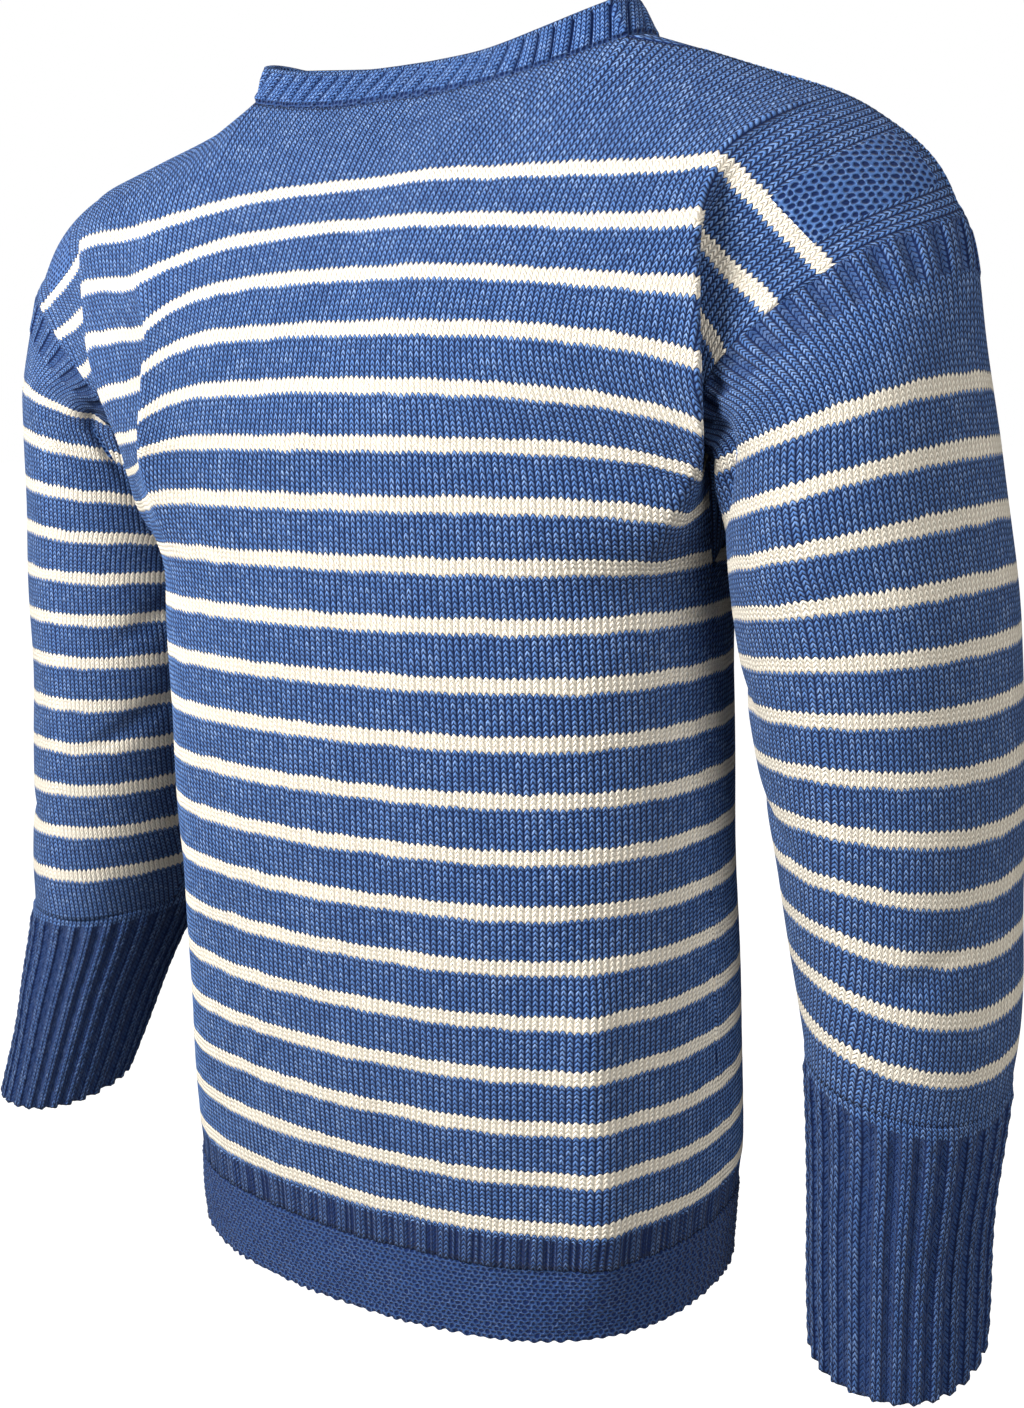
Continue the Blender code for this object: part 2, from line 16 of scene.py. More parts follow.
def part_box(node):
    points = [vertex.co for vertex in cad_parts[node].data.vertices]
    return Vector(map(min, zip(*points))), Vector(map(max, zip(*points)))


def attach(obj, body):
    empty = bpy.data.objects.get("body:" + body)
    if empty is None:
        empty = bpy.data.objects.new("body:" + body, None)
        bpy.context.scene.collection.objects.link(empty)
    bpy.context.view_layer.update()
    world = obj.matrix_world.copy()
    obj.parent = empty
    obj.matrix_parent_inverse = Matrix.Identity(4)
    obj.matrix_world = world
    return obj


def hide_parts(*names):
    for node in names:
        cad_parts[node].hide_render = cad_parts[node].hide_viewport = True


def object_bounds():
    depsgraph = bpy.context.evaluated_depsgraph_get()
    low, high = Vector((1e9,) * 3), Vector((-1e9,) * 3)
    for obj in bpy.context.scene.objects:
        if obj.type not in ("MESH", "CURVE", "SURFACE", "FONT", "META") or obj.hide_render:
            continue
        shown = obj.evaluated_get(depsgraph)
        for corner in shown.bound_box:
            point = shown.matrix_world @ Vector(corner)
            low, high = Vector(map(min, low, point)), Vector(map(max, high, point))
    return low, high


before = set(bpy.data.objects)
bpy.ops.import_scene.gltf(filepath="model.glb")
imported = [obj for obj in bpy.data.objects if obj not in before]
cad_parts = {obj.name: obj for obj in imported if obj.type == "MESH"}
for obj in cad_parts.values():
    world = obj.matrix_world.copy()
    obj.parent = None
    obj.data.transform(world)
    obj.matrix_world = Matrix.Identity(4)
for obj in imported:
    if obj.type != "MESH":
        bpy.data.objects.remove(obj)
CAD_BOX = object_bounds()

bl_info = {
    "name": "Fisherman's jumper",
    "version": (1, 0, 0),
    "blender": (4, 5, 0),
    "location": "View3D > Sidebar > Jumper",
    "description": "Knits a striped fisherman's jumper on its packed form",
    "category": "Object",
}

# ------------------------------------------------------------------ gauge
REPEAT = 0.027                  # metres in a stripe repeat
ORIGIN = np.array((0.0, 0.30, 1.90))
WALL = 0.0026                   # metres
COURSES = 11                    # courses in a stripe repeat
PALE_COURSES = 3
STRIPE_LEAD = 1.9               # courses from a stripe's upper edge to its row
BODY_STRIPES, SLEEVE_STRIPES = 20, 12
RIGHT_STRIPES_EARLY = (0.50, 0.19)      # repeats, at the first and at the last stripe of the sleeve

PER_WALE = 4                    # mesh columns to a stitch column
SLEEVE_MESH = 480               # mesh columns round a sleeve
PANEL_WALES = 140
YOKE_WALES = ((-2.5, 158), (1.5, 156), (3.5, 148), (5.3, 140), (22.0, 140))
SLEEVE_WALES = ((-2.4, 121), (0.0, 117), (3.0, 138), (6.0, 138), (9.0, 128), (11.9, 108))
CUFF_WALES = 108
COLLAR_RIBS = 52
RIB = 4.0                       # wales in a repeat of the ribs
HEM_RIB = 3.8                   # the same in the band at the foot of the panels
HEM_GROOVES = (0.0, 1.05)       # wales of that band that lie low

ROW_TOP = -2.5
ROW_UNDERARM = 5.3
ROW_GUSSET = 7.3
ROW_HEM = 19.2
ROW_BODY_END = 19.85
ROW_WELT_END = 21.45
TUCK_START, TUCK_END = -1.3, 7.6
SEED_WALES = (4.2, 12.2)        # from the armhole edge
SEED_ROWS = (-2.25, -0.24)
SLEEVE_SEAM, SLEEVE_TIP, SLEEVE_END, CUFF_END = -2.4, 2.4, 11.9, 16.5
HEAD_RIB_END = -1.6
NECK_SHARE, GUSSET_SHARE = 0.39, 0.50   # of the top edge of half a panel
SLEEVE_ROUND = 2.25             # 2 is an oval, more is squarer

BEAD = 0.0009                   # height of the panels' edge stitches, in metres
WAVE = 0.0006                   # drop of the stitches along a cast-off edge, in metres

# ------------------------------------------------------------------ tables
CHEST_FRONT_LEFT = (
    (0.0, -2.05, -0.5, 3.8, -2.35, -0.45, 7.7, -2.6, 0.0, 8.75, -1.8, -2.4),
    (1.0, -2.65, -1.28, 3.9, -2.95, -1.25, 7.5, -3.0, -0.85, 8.0, -2.15, -2.95),
    (2.0, -3.15, -2.14, 3.9, -3.4, -2.14, 7.3, -3.2, -1.85, 7.2, -2.3, -3.7),
    (3.0, -3.52, -3.06, 3.9, -3.75, -3.08, 7.0, -3.3, -2.95, 6.75, -2.1, -4.3),
    (4.0, -3.75, -4.02, 3.9, -3.9, -4.06, 6.6, -3.25, -4.08, 6.45, -1.75, -4.85),
)
CHEST_FRONT_RIGHT = (
    (0.0, -2.05, -0.5, 3.8, -2.35, -0.5, 7.2, -2.55, -0.55, 8.75, -1.8, -2.4),
    (1.0, -2.65, -1.28, 3.9, -2.95, -1.28, 7.1, -3.0, -1.35, 8.0, -2.15, -2.95),
    (2.0, -3.15, -2.14, 3.9, -3.4, -2.16, 6.9, -3.25, -2.25, 7.2, -2.3, -3.7),
    (3.0, -3.52, -3.06, 3.9, -3.75, -3.08, 6.7, -3.4, -3.2, 6.75, -2.1, -4.3),
    (4.0, -3.75, -4.02, 3.9, -3.9, -4.06, 6.4, -3.3, -4.2, 6.45, -1.75, -4.85),
)
CHEST_BACK = (
    (0.0, 2.9, -0.2, 3.8, 3.05, -0.25, 7.4, 2.85, -0.6, 8.75, 2.1, -2.4),
    (1.0, 3.35, -1.12, 3.9, 3.5, -1.15, 7.3, 3.25, -1.4, 8.0, 2.45, -2.95),
    (2.0, 3.65, -2.08, 3.9, 3.8, -2.08, 7.1, 3.5, -2.25, 7.2, 2.55, -3.7),
    (3.0, 3.85, -3.06, 3.9, 4.0, -3.05, 6.8, 3.55, -3.2, 6.75, 2.35, -4.3),
    (4.0, 3.95, -4.05, 3.9, 4.05, -4.08, 6.4, 3.4, -4.25, 6.45, 2.0, -4.85),
)
BODY = (
    (5.3, 5.88, -3.9, 3.75, -0.05, -5.3),
    (6.3, 5.84, -3.92, 3.75, 0.0, -6.33),
    (7.3, 5.8, -3.92, 3.75, 0.0, -7.37),
    (9.0, 5.76, -3.94, 3.75, 0.02, -9.1),
    (12.0, 5.76, -3.94, 3.85, 0.1, -12.12),
    (15.0, 5.8, -3.92, 4.0, 0.2, -15.12),
    (17.5, 5.86, -3.86, 4.1, 0.28, -17.58),
    (19.0, 5.88, -3.8, 4.12, 0.33, -19.03),
    (19.85, 5.8, -3.78, 4.1, 0.35, -19.87),
    (20.6, 5.76, -3.8, 4.1, 0.36, -20.55),
    (21.5, 5.64, -3.74, 4.08, 0.38, -21.38),
)
NECK = {
    ("front", "left"): ((0.0, -0.45, 1.18), (1.5, -0.5, 1.24), (3.0, -0.38, 1.48), (4.25, -0.12, 1.78)),
    ("front", "right"): ((0.0, -0.45, 1.18), (1.5, -0.5, 1.16), (3.0, -0.38, 1.28), (4.2, -0.12, 1.5)),
    ("back", "left"): ((0.0, 2.2, 1.6), (1.5, 2.12, 1.62), (3.0, 1.7, 1.74), (4.25, 1.0, 1.84)),
    ("back", "right"): ((0.0, 2.2, 1.6), (1.5, 2.12, 1.58), (3.0, 1.7, 1.6), (4.2, 1.0, 1.6)),
}
SHOULDER = {
    "left": ((5.45, 0.3, 1.5), (6.93, 0.3, 0.95), (8.6, 0.3, 0.18), (9.62, 0.3, -0.7), (10.05, 0.3, -1.5)),
    "right": ((5.35, 0.3, 1.14), (6.9, 0.3, 0.66), (8.6, 0.3, 0.1), (9.75, 0.3, -0.68), (10.15, 0.3, -1.5)),
}
SLEEVE_LEFT = (
    (0.0, 8.6, -0.1, -4.8, 1.93, 2.62, 0.36, 0.0, 1.0),
    (1.5, 8.62, 0.28, -6.2, 2.05, 2.8, 0.26, 0.0, 0.65),
    (3.0, 8.68, 0.65, -7.6, 2.12, 2.9, 0.15, 0.0, 0.3),
    (6.0, 8.82, 1.25, -10.4, 2.08, 2.9, -0.03, 0.0, 0.0),
    (9.0, 8.92, 1.7, -13.4, 1.92, 2.7, -0.22, 0.0, 0.0),
    (11.0, 9.04, 1.85, -15.5, 1.82, 2.45, -0.32, 0.02, 0.0),
    (11.9, 9.08, 1.85, -16.45, 1.7, 2.25, -0.3, 0.05, 0.0),
    (14.2, 9.15, 1.55, -19.0, 1.5, 2.05, -0.2, 0.08, 0.0),
    (16.5, 9.32, 1.05, -21.6, 1.42, 1.92, -0.12, 0.1, 0.0),
)
SLEEVE_RIGHT = (
    (0.0, 8.12, -0.05, -4.55, 1.66, 2.58, 0.25, 0.02, 1.0),
    (1.5, 8.34, 0.38, -5.9, 1.85, 2.75, 0.16, 0.04, 0.65),
    (3.0, 8.6, 0.7, -7.22, 2.02, 2.85, 0.08, 0.05, 0.3),
    (6.0, 9.15, 1.15, -10.0, 2.08, 2.9, 0.02, 0.05, 0.0),
    (9.0, 10.0, 1.48, -13.02, 1.92, 2.7, 0.0, 0.05, 0.0),
    (11.0, 10.68, 1.6, -15.15, 1.8, 2.45, 0.0, 0.05, 0.0),
    (11.9, 11.0, 1.55, -16.1, 1.68, 2.2, 0.0, 0.06, 0.0),
    (14.2, 11.65, 1.05, -18.45, 1.36, 1.85, 0.03, 0.08, 0.0),
    (16.5, 12.22, 0.45, -20.9, 1.2, 1.65, 0.05, 0.1, 0.0),
)
# Tucks of the front beside the armholes: for each row the direction in which it
# reaches the first bend, then the points it passes on its way, drawn as on +X.
TUCKS = {
    "left": (
        (0.0, 1.9, -0.02, 0.08, 7.05, -2.38, -0.68, 7.32, -2.15, -0.9),
        (1.0, 1.8, -0.02, 0.1, 6.93, -2.72, -1.53, 6.77, -2.3, -1.81),
        (2.0, 1.5, -0.02, -0.1, 6.97, -2.9, -2.58, 6.76, -2.36, -2.95),
        (3.0, 1.3, 0.0, -0.42, 6.97, -2.9, -3.69, 6.68, -2.25, -4.05),
        (4.0, 1.2, 0.02, -0.46, 6.9, -2.7, -4.7, 6.6, -2.05, -4.95),
        (5.3, 1.1, 0.15, -0.38, 6.74, -2.3, -5.68, 6.6, -1.8, -5.86),
    ),
    "right": (
        (0.0, 1.2, -0.05, -0.26, 4.9, -2.58, -1.03, 5.2, -2.55, -1.08, 6.9, -2.35, -1.2, 7.3, -2.1, -1.5),
        (1.0, 1.1, -0.1, -0.42, 4.58, -3.12, -1.98, 4.92, -3.02, -2.05, 6.52, -2.75, -2.08, 6.95, -2.38,
         -2.5),
        (2.0, 0.7, -0.1, -0.56, 4.16, -3.45, -2.86, 4.55, -3.14, -2.98, 6.26, -2.95, -3.1, 6.7, -2.5, -3.5),
        (3.0, 0.7, -0.1, -0.52, 4.1, -3.65, -3.64, 4.5, -3.22, -3.88, 5.98, -2.95, -4.15, 6.35, -2.45, -4.28),
        (4.0, 0.8, -0.1, -0.46, 4.12, -3.72, -4.5, 4.6, -3.28, -4.86, 5.6, -2.95, -5.0, 6.1, -2.35, -5.05),
        (5.3, 1.1, 0.0, -0.2, 4.22, -3.72, -5.42, 4.6, -3.36, -5.72, 5.4, -2.85, -5.95, 5.95, -2.15, -5.75),
    ),
}
# Creases of the panels: rows they start and end on, distance from the middle at
# both ends, width and height (minus is a trough), side of the body.
CREASES_FRONT = (
    (5.0, 9.5, 5.15, 5.6, 0.4, -0.1, -1),
    (12.5, 20.5, 5.25, 5.7, 0.55, -0.18, -1),
    (13.5, 21.2, 5.05, 5.25, 0.5, 0.2, 1),
)
# Creases of the sleeves: rows, shares of the way round at both ends, width in
# shares, height.  Share 0 is the underarm, a quarter the front.
CREASES_SLEEVE = (
    (-2.3, 0.6, 0.055, 0.020, 0.013, -0.2),
    (-2.2, 1.3, 0.088, 0.046, 0.015, 0.17),
    (-1.9, 1.4, 0.125, 0.078, 0.013, -0.13),
    (-2.2, 0.2, 0.185, 0.130, 0.020, 0.1),
    (3.6, 5.6, 0.02, 0.17, 0.030, -0.09),
    (6.2, 8.0, 0.03, 0.2, 0.030, -0.1),
    (8.3, 10.0, 0.46, 0.28, 0.035, -0.08),
    (5.2, 7.0, 0.98, 0.8, 0.030, -0.09),
    (-2.2, 0.2, 0.93, 0.97, 0.015, -0.14),
)
CREASES_BACK = (
    (-0.6, 5.2, 7.1, 6.45, 0.55, 0.24, 1),
    (-0.2, 5.0, 8.0, 7.05, 0.42, -0.26, 1),
    (-0.6, 5.2, 7.1, 6.45, 0.55, 0.24, -1),
    (-0.2, 5.0, 8.0, 7.05, 0.42, -0.26, -1),
    (6.5, 16.0, 3.0, 3.6, 0.7, -0.16, 1),
    (8.5, 18.5, 3.2, 2.6, 0.7, -0.15, -1),
)
ROWS_ARMHOLE = (-2.5, -1.7, -0.9, -0.2, 0.6, 1.4, 2.2, 3.0, 3.8, 4.6, 5.3)


# ------------------------------------------------------------------ curves
def hermite(t, a, leaving, b, arriving):
    """From a to b with the given slopes at the ends, t from 0 to 1."""
    return ((1 + 2 * t) * (1 - t) ** 2 * a + t * (1 - t) ** 2 * leaving
            + t * t * (3 - 2 * t) * b + t * t * (t - 1) * arriving)


def through(table, x):
    """Columns of a table at x, on a smooth curve through its rows."""
    t = np.asarray(table, float)
    k, v = t[:, 0], t[:, 1:]
    h = (k[1:] - k[:-1])[:, None]
    d = (v[1:] - v[:-1]) / h
    m = np.vstack([d[:1], (d[:-1] * h[1:] + d[1:] * h[:-1]) / (h[1:] + h[:-1]), d[-1:]])
    i = int(np.clip(np.searchsorted(k, x, side="right") - 1, 0, len(k) - 2))
    w = k[i + 1] - k[i]
    s = (x - k[i]) / w
    return hermite(s, v[i], w * m[i], v[i + 1], w * m[i + 1])


def along(points, shares):
    """Points at the given shares of a polyline's length."""
    q = np.asarray(points, float)
    s = np.r_[0, np.cumsum(np.linalg.norm(np.diff(q, axis=0), axis=1))]
    w = np.asarray(shares, float) * s[-1]
    return np.stack([np.interp(w, s, q[:, c]) for c in range(3)], 1)


def smooth(x):
    """0 below 0, 1 above 1, and an easy curve between."""
    x = np.clip(x, 0.0, 1.0)
    return x * x * (3 - 2 * x)


def bezier(a, b, c, d, n=161):
    """Points of the curve from a to d with the handles b and c."""
    t = np.linspace(0, 1, n)[:, None]
    return (1 - t) ** 3 * a + 3 * t * (1 - t) ** 2 * b + 3 * t * t * (1 - t) * c + t ** 3 * d


def lumps(u, v, seed):
    """Slow unevenness from -1 to 1, the same on every run."""
    rng = np.random.default_rng(seed)
    total = np.zeros(np.broadcast(u, v).shape)
    for _ in range(7):
        a, b = rng.normal(0, 1.0, 2)
        total = total + np.sin(a * u + b * v + rng.uniform(0, 6.28))
    return total / 3.5


# ------------------------------------------------------------------ the body
def body_row(face, row):
    """Middle, two handles and end of a body row, as in the chest table."""
    a, front, back, side, z = through(BODY, row)
    y = front if face == "front" else back
    part = smooth((ROW_GUSSET - row) / (ROW_GUSSET - ROW_UNDERARM))
    corner = -1.20 if face == "front" else 1.45
    edge_y = side + (corner - side) * part
    edge_x = a + 0.42 * part
    return (row, y, z, 0.69 * a, y, z, edge_x + 0.02,
            side + 0.69 * (y - side) + 0.25 * (edge_y - side), z, edge_x, edge_y, z)


def row_table(face, hand):
    """The rows of half a panel, from the top stripe to the foot of the welt."""
    chest = CHEST_BACK if face == "back" else CHEST_FRONT_LEFT if hand == "left" else CHEST_FRONT_RIGHT
    rows = (5.3, 6.3, 7.3, 8.5, 10.5, 12.5, 14.5, 16.5, 18.0, 19.0, 19.85, 20.6, 21.5)
    return list(chest) + [body_row(face, r) for r in rows]


ROW_TABLE = {(f, h): row_table(f, h) for f in ("front", "back") for h in ("left", "right")}


def spline(points, first, n=24):
    """A smooth path through the points, leaving the first one along a direction."""
    q = np.asarray(points, float)
    chord = np.linalg.norm(np.diff(q, axis=0), axis=1)
    turn = [np.asarray(first, float) / np.linalg.norm(first)]
    for i in range(1, len(q) - 1):
        turn.append((q[i + 1] - q[i - 1]) / (chord[i] + chord[i - 1]))
    turn.append((q[-1] - q[-2]) / chord[-1])
    out = []
    for a, b, da, db, w in zip(q[:-1], q[1:], turn[:-1], turn[1:], chord):
        out.append(bezier(a, a + da * w / 3, b - db * w / 3, b, n)[:-1])
    return np.concatenate(out + [q[-1:]])


def tucked_row(hand, row, q):
    """A row of the front that bends round the tucks before its armhole."""
    p = through(TUCKS[hand], min(row, ROW_UNDERARM)).reshape(-1, 3)
    p[1:, 2] -= max(row - ROW_UNDERARM, 0.0)
    bend, p = p[0], p[1:]
    middle = np.array((0.0, q[0], q[1]))
    share = p[0][0] / q[5]
    start = bezier(middle, middle + (q[2:5] - middle) * share, p[0] - bend, p[0])
    return np.concatenate([start[:-1], spline(list(p) + [q[8:11]], bend)])


def half_row(face, row, shares, hand):
    """Points of one row of half a panel at shares of its length, drawn as on +X."""
    q = through(ROW_TABLE[face, hand], row)
    plain = along(bezier(np.array((0.0, q[0], q[1])), q[2:5], q[5:8], q[8:11]), shares)
    tucked = smooth((TUCK_END - row) / 3.4) * smooth(1 - row / TUCK_START) if face == "front" else 0.0
    if tucked == 0.0:
        return plain
    return plain * (1 - tucked) + tucked * along(tucked_row(hand, row, q), shares)


def top_edge(face, shares, hand):
    """Neck, gusset edge and shoulder line of half a panel, drawn as on +X."""
    neck, shoulder = NECK[face, hand], SHOULDER[hand]
    table = [(p[0],) + p for p in neck]
    curve = [through(table, x) for x in np.linspace(0, neck[-1][0], 41)]
    apex = np.array(shoulder[0])
    length = np.r_[0, np.cumsum(np.linalg.norm(np.diff(np.array(shoulder), axis=0), axis=1))]
    line = [(s,) + p for s, p in zip(length, shoulder)]
    seam = [through(line, s) for s in np.linspace(0, length[-1], 49)]
    shares = np.asarray(shares, float)
    t = np.clip((shares - NECK_SHARE) / (GUSSET_SHARE - NECK_SHARE), 0, 1)[:, None]
    at_neck = along(curve, np.clip(shares / NECK_SHARE, 0, 1))
    at_gusset = np.array(neck[-1]) * (1 - t) + apex * t
    at_seam = along(seam, np.clip((shares - GUSSET_SHARE) / (1 - GUSSET_SHARE), 0, 1))
    s = shares[:, None]
    return np.where(s <= NECK_SHARE, at_neck, np.where(s <= GUSSET_SHARE, at_gusset, at_seam))


def panel_half(face, rows, shares, hand):
    """Rows x shares of points on half a panel, without creases, drawn as on +X."""
    shares = np.asarray(shares, float)
    top = top_edge(face, shares, hand)
    r0 = half_row(face, 0.0, shares, hand)
    up = (r0 - half_row(face, 0.05, shares, hand)) / 0.05
    sign = 1.0 if face == "front" else -1.0
    w = smooth((shares - 0.30) / 0.35)[:, None]
    over = (1 - w) * np.array((0.0, 0.75 * sign, 0.62)) + w * np.array((0.0, sign, 0.25))
    return np.array([half_row(face, row, shares, hand) if row >= 0
                     else hermite(row / ROW_TOP, r0, -ROW_TOP * up, top, -ROW_TOP * over) for row in rows])


def crease_height(creases, side, rows, at, length):
    """Height of the creases at distances from the middle, for every row."""
    total = np.zeros(at.shape)
    row = np.asarray(rows, float)[:, None]
    for r0, r1, a0, a1, width, height, where in creases:
        if where != side:
            continue
        t = np.clip((row - r0) / (r1 - r0), 0, 1)
        centre = a0 + (a1 - a0) * t
        fade = smooth(4 * t) * smooth(4 * (1 - t)) * smooth((length - at) / 0.5)
        total += height * fade * np.exp(-((at - centre) / width) ** 2)
    return total


def normals_of(grid, closed=False):
    """Unit normals at the points of a grid; closed when its columns run round."""
    if closed:
        du = (np.roll(grid, -1, 1) - np.roll(grid, 1, 1)) / 2
    else:
        du = np.gradient(grid, axis=1)
    n = np.cross(du, np.gradient(grid, axis=0))
    return n / np.maximum(np.linalg.norm(n, axis=2, keepdims=True), 1e-9)


def arc_lengths(half):
    """Distances along each row from its first point."""
    seg = np.linalg.norm(np.diff(half, axis=1), axis=2)
    return np.concatenate([np.zeros((len(half), 1)), np.cumsum(seg, 1)], 1)


def panel(face, rows, wales):
    """Points of a whole panel, from the wearer's right to the left."""
    shares = np.linspace(0, 1, wales // 2 * PER_WALE + 1)
    halves = []
    for side, hand in ((-1, "right"), (1, "left")):
        half = panel_half(face, rows, shares, hand)
        half[:, :, 0] *= side
        n = normals_of(half)
        facing, creases = (-1.0, CREASES_FRONT) if face == "front" else (1.0, CREASES_BACK)
        n *= np.sign(n[:, :, 1].mean() * facing)
        at = arc_lengths(half)
        half = half + n * crease_height(creases, side, rows, at, at[:, -1:])[:, :, None]
        halves.append(half)
    return np.concatenate([halves[0][:, ::-1], halves[1][:, 1:]], axis=1)


# ------------------------------------------------------------------ the sleeves
def ring_points(hand, row, angle):
    """Angle 0 is the body side, a quarter turn the front, a half the outside."""
    x, y, z, rx, ry, out, back, drop = through(SLEEVE_LEFT if hand == "left" else SLEEVE_RIGHT, row)
    c, s = -np.cos(angle), -np.sin(angle)
    power = 2 / SLEEVE_ROUND
    ex = np.sign(c) * np.abs(c) ** power * rx
    ey = np.sign(s) * np.abs(s) ** power * ry
    near = np.abs((angle + 0.25 + np.pi) % (2 * np.pi) - np.pi)
    return np.stack([x + ex, y + ey, z + ex * out + ey * back - drop * np.exp(-(near / 0.62) ** 2)], -1)


def sleeve_creases(rows, shares):
    """Height of the sleeve's creases, in repeats, for rows x shares."""
    total = np.zeros((len(rows), len(shares)))
    row = np.asarray(rows, float)[:, None]
    for r0, r1, a0, a1, width, height in CREASES_SLEEVE:
        t = np.clip((row - r0) / (r1 - r0), 0, 1)
        off = np.asarray(shares)[None, :] - (a0 + (a1 - a0) * t)
        total += height * smooth(3 * t) * smooth(3 * (1 - t)) * np.exp(-(off / width) ** 2)
    return total


def slit(row):
    """Half the angle that the underarm gusset leaves open between a sleeve's edges."""
    return 0.004 + 0.42 * np.clip((SLEEVE_TIP - row) / SLEEVE_TIP, 0, 1.6)


def armhole_points(hand, shares):
    """Round the armhole, from the gusset's front corner over the top to its back."""
    rows = np.array(ROWS_ARMHOLE)
    n = 2 * len(rows) - 1
    place_in = np.asarray(shares, float) * (n - 1)
    front = np.interp(place_in, np.arange(len(rows)), rows[::-1])
    back = np.interp(place_in, np.arange(len(rows) - 1, n), rows)
    sides = [("front", f) if p <= len(rows) - 1 else ("back", b) for p, f, b in zip(place_in, front, back)]
    return np.array([panel_half(face, [row], [1], hand)[0, 0] for face, row in sides])


def sleeve(hand, rows, shares):
    """Rows x shares of a sleeve, drawn as on +X."""
    shares = np.asarray(shares, float)
    start = armhole_points(hand, shares)

    def at(row):
        return ring_points(hand, row, slit(row) + (2 * np.pi - 2 * slit(row)) * shares)

    angles = slit(0.0) + (2 * np.pi - 2 * slit(0.0)) * shares
    end = at(0.0)
    slope = (ring_points(hand, 0.3, angles) - end) / 0.3 * -SLEEVE_SEAM
    away = (end - start) * 0.9 + np.array((0.55, 0.0, 0.0)) * (1 - np.cos(angles))[:, None] * 0.5
    return np.array([at(row) if row >= 0 else hermite(1 - row / SLEEVE_SEAM, start, away, end, slope)
                     for row in rows])


def underarm_gusset(hand, n=25):
    """A diamond between both panels and the two edges of the sleeve."""
    rows = np.linspace(ROW_UNDERARM, ROW_GUSSET, 17)
    front = panel_half("front", rows, [0, 1], hand)[:, 1]
    back = panel_half("back", rows, [0, 1], hand)[:, 1]
    arm = sleeve(hand, np.linspace(SLEEVE_SEAM, SLEEVE_TIP, 25), [0, 1])
    steps = np.linspace(0, 1, n)
    body_front, body_back = along(front[::-1], steps), along(back[::-1], steps)
    arm_front, arm_back = along(arm[:, 0], steps), along(arm[:, -1], steps)
    tip = (arm_front[-1] + arm_back[-1]) / 2
    a, b = steps[:, None, None], steps[None, :, None]
    grid = ((1 - b) * body_front[:, None] + b * arm_back[:, None]
            + (1 - a) * body_back[None, :] + a * arm_front[None, :]
            - (1 - a) * (1 - b) * body_front[0] - a * (1 - b) * body_front[-1]
            - (1 - a) * b * body_back[-1] - a * b * tip)
    return grid + 16 * a * (1 - a) * b * (1 - b) * np.array((0.0, 0.0, 0.42))


# ------------------------------------------------------------------ the neck
def neck_gusset(hand, n=9):
    """A small triangle let into the end of a shoulder line, drawn as on +X."""
    shares = np.linspace(NECK_SHARE, GUSSET_SHARE, n)
    front, back = top_edge("front", shares, hand), top_edge("back", shares, hand)
    spread = np.linspace(0, 1, n)[:, None]
    front = front + spread * (0.0, -0.05, 0.0)
    back = back + spread * (0.0, 0.05, 0.0)
    b = np.linspace(0, 1, n)[None, :, None]
    wide = (1 - np.linspace(0, 1, n))[:, None, None]
    rise = np.array((0.14, 0.0, 0.07)) * 4 * b * (1 - b) * wide
    return front[:, None] * (1 - b) + back[:, None] * b + rise


def collar_ring(count):
    """Foot of the collar band round the neck, front middle first, and its lean."""
    shares = np.linspace(0, NECK_SHARE, 41)
    halves = []
    for hand in ("left", "right"):
        front, back = top_edge("front", shares, hand), top_edge("back", shares, hand)
        halves.append(np.concatenate([front, neck_gusset(hand)[0][1:-1], back[::-1]]))
    ring = np.concatenate([halves[0], (halves[1][::-1] * np.array((-1.0, 1.0, 1.0)))[1:]])
    ring = along(ring, np.arange(count) / count)
    w = smooth(np.abs(ring[:, 0]) / 4.4)[:, None]
    to_back = smooth((ring[:, 1] + 0.3) / 2.0)[:, None]
    middle = (1 - to_back) * np.array((0.0, 0.52, 0.66)) + to_back * np.array((0.0, -0.30, 0.62))
    sides = np.stack([-0.36 * np.sign(ring[:, 0]), np.full(count, -0.02), np.full(count, 0.64)], 1)
    return ring, (1 - w) * middle + w * sides


# ------------------------------------------------------------------ shells
def place(points):
    """From repeats to metres in the shared frame."""
    return (np.asarray(points, float) - ORIGIN) * REPEAT


def rib_wave(u):
    """1 on the knit columns of a rib and 0 between them, u in wales."""
    x = np.abs(((u / RIB) % 1.0) - 0.5) * 2
    return smooth((0.72 - x) / 0.40)


def groove(u, period, places, width):
    """1 along narrow grooves at the given wales of each period."""
    total = 0.0
    for at in places:
        off = (u - at + period / 2) % period - period / 2
        total = total + np.exp(-(off / width) ** 2)
    return total


def wale_wave(u):
    """Rounded stitch columns with a sharp valley between them."""
    return np.abs(np.sin(np.pi * u)) ** 0.8


def outside_from(name):
    """A point that lies behind the outer face of a piece."""
    low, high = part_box(name)
    middle = np.array((low + high) / 2)
    if name.endswith("panel") or name.endswith("welt"):
        middle[1] = place((0, 0.2, 0))[1]
    elif name.startswith("underarm"):
        middle[2] += 0.2
    elif name.startswith("neck"):
        middle[2] -= 0.2
    return middle


def with_first(grid):
    return np.concatenate([grid, grid[:, :1]], 1)


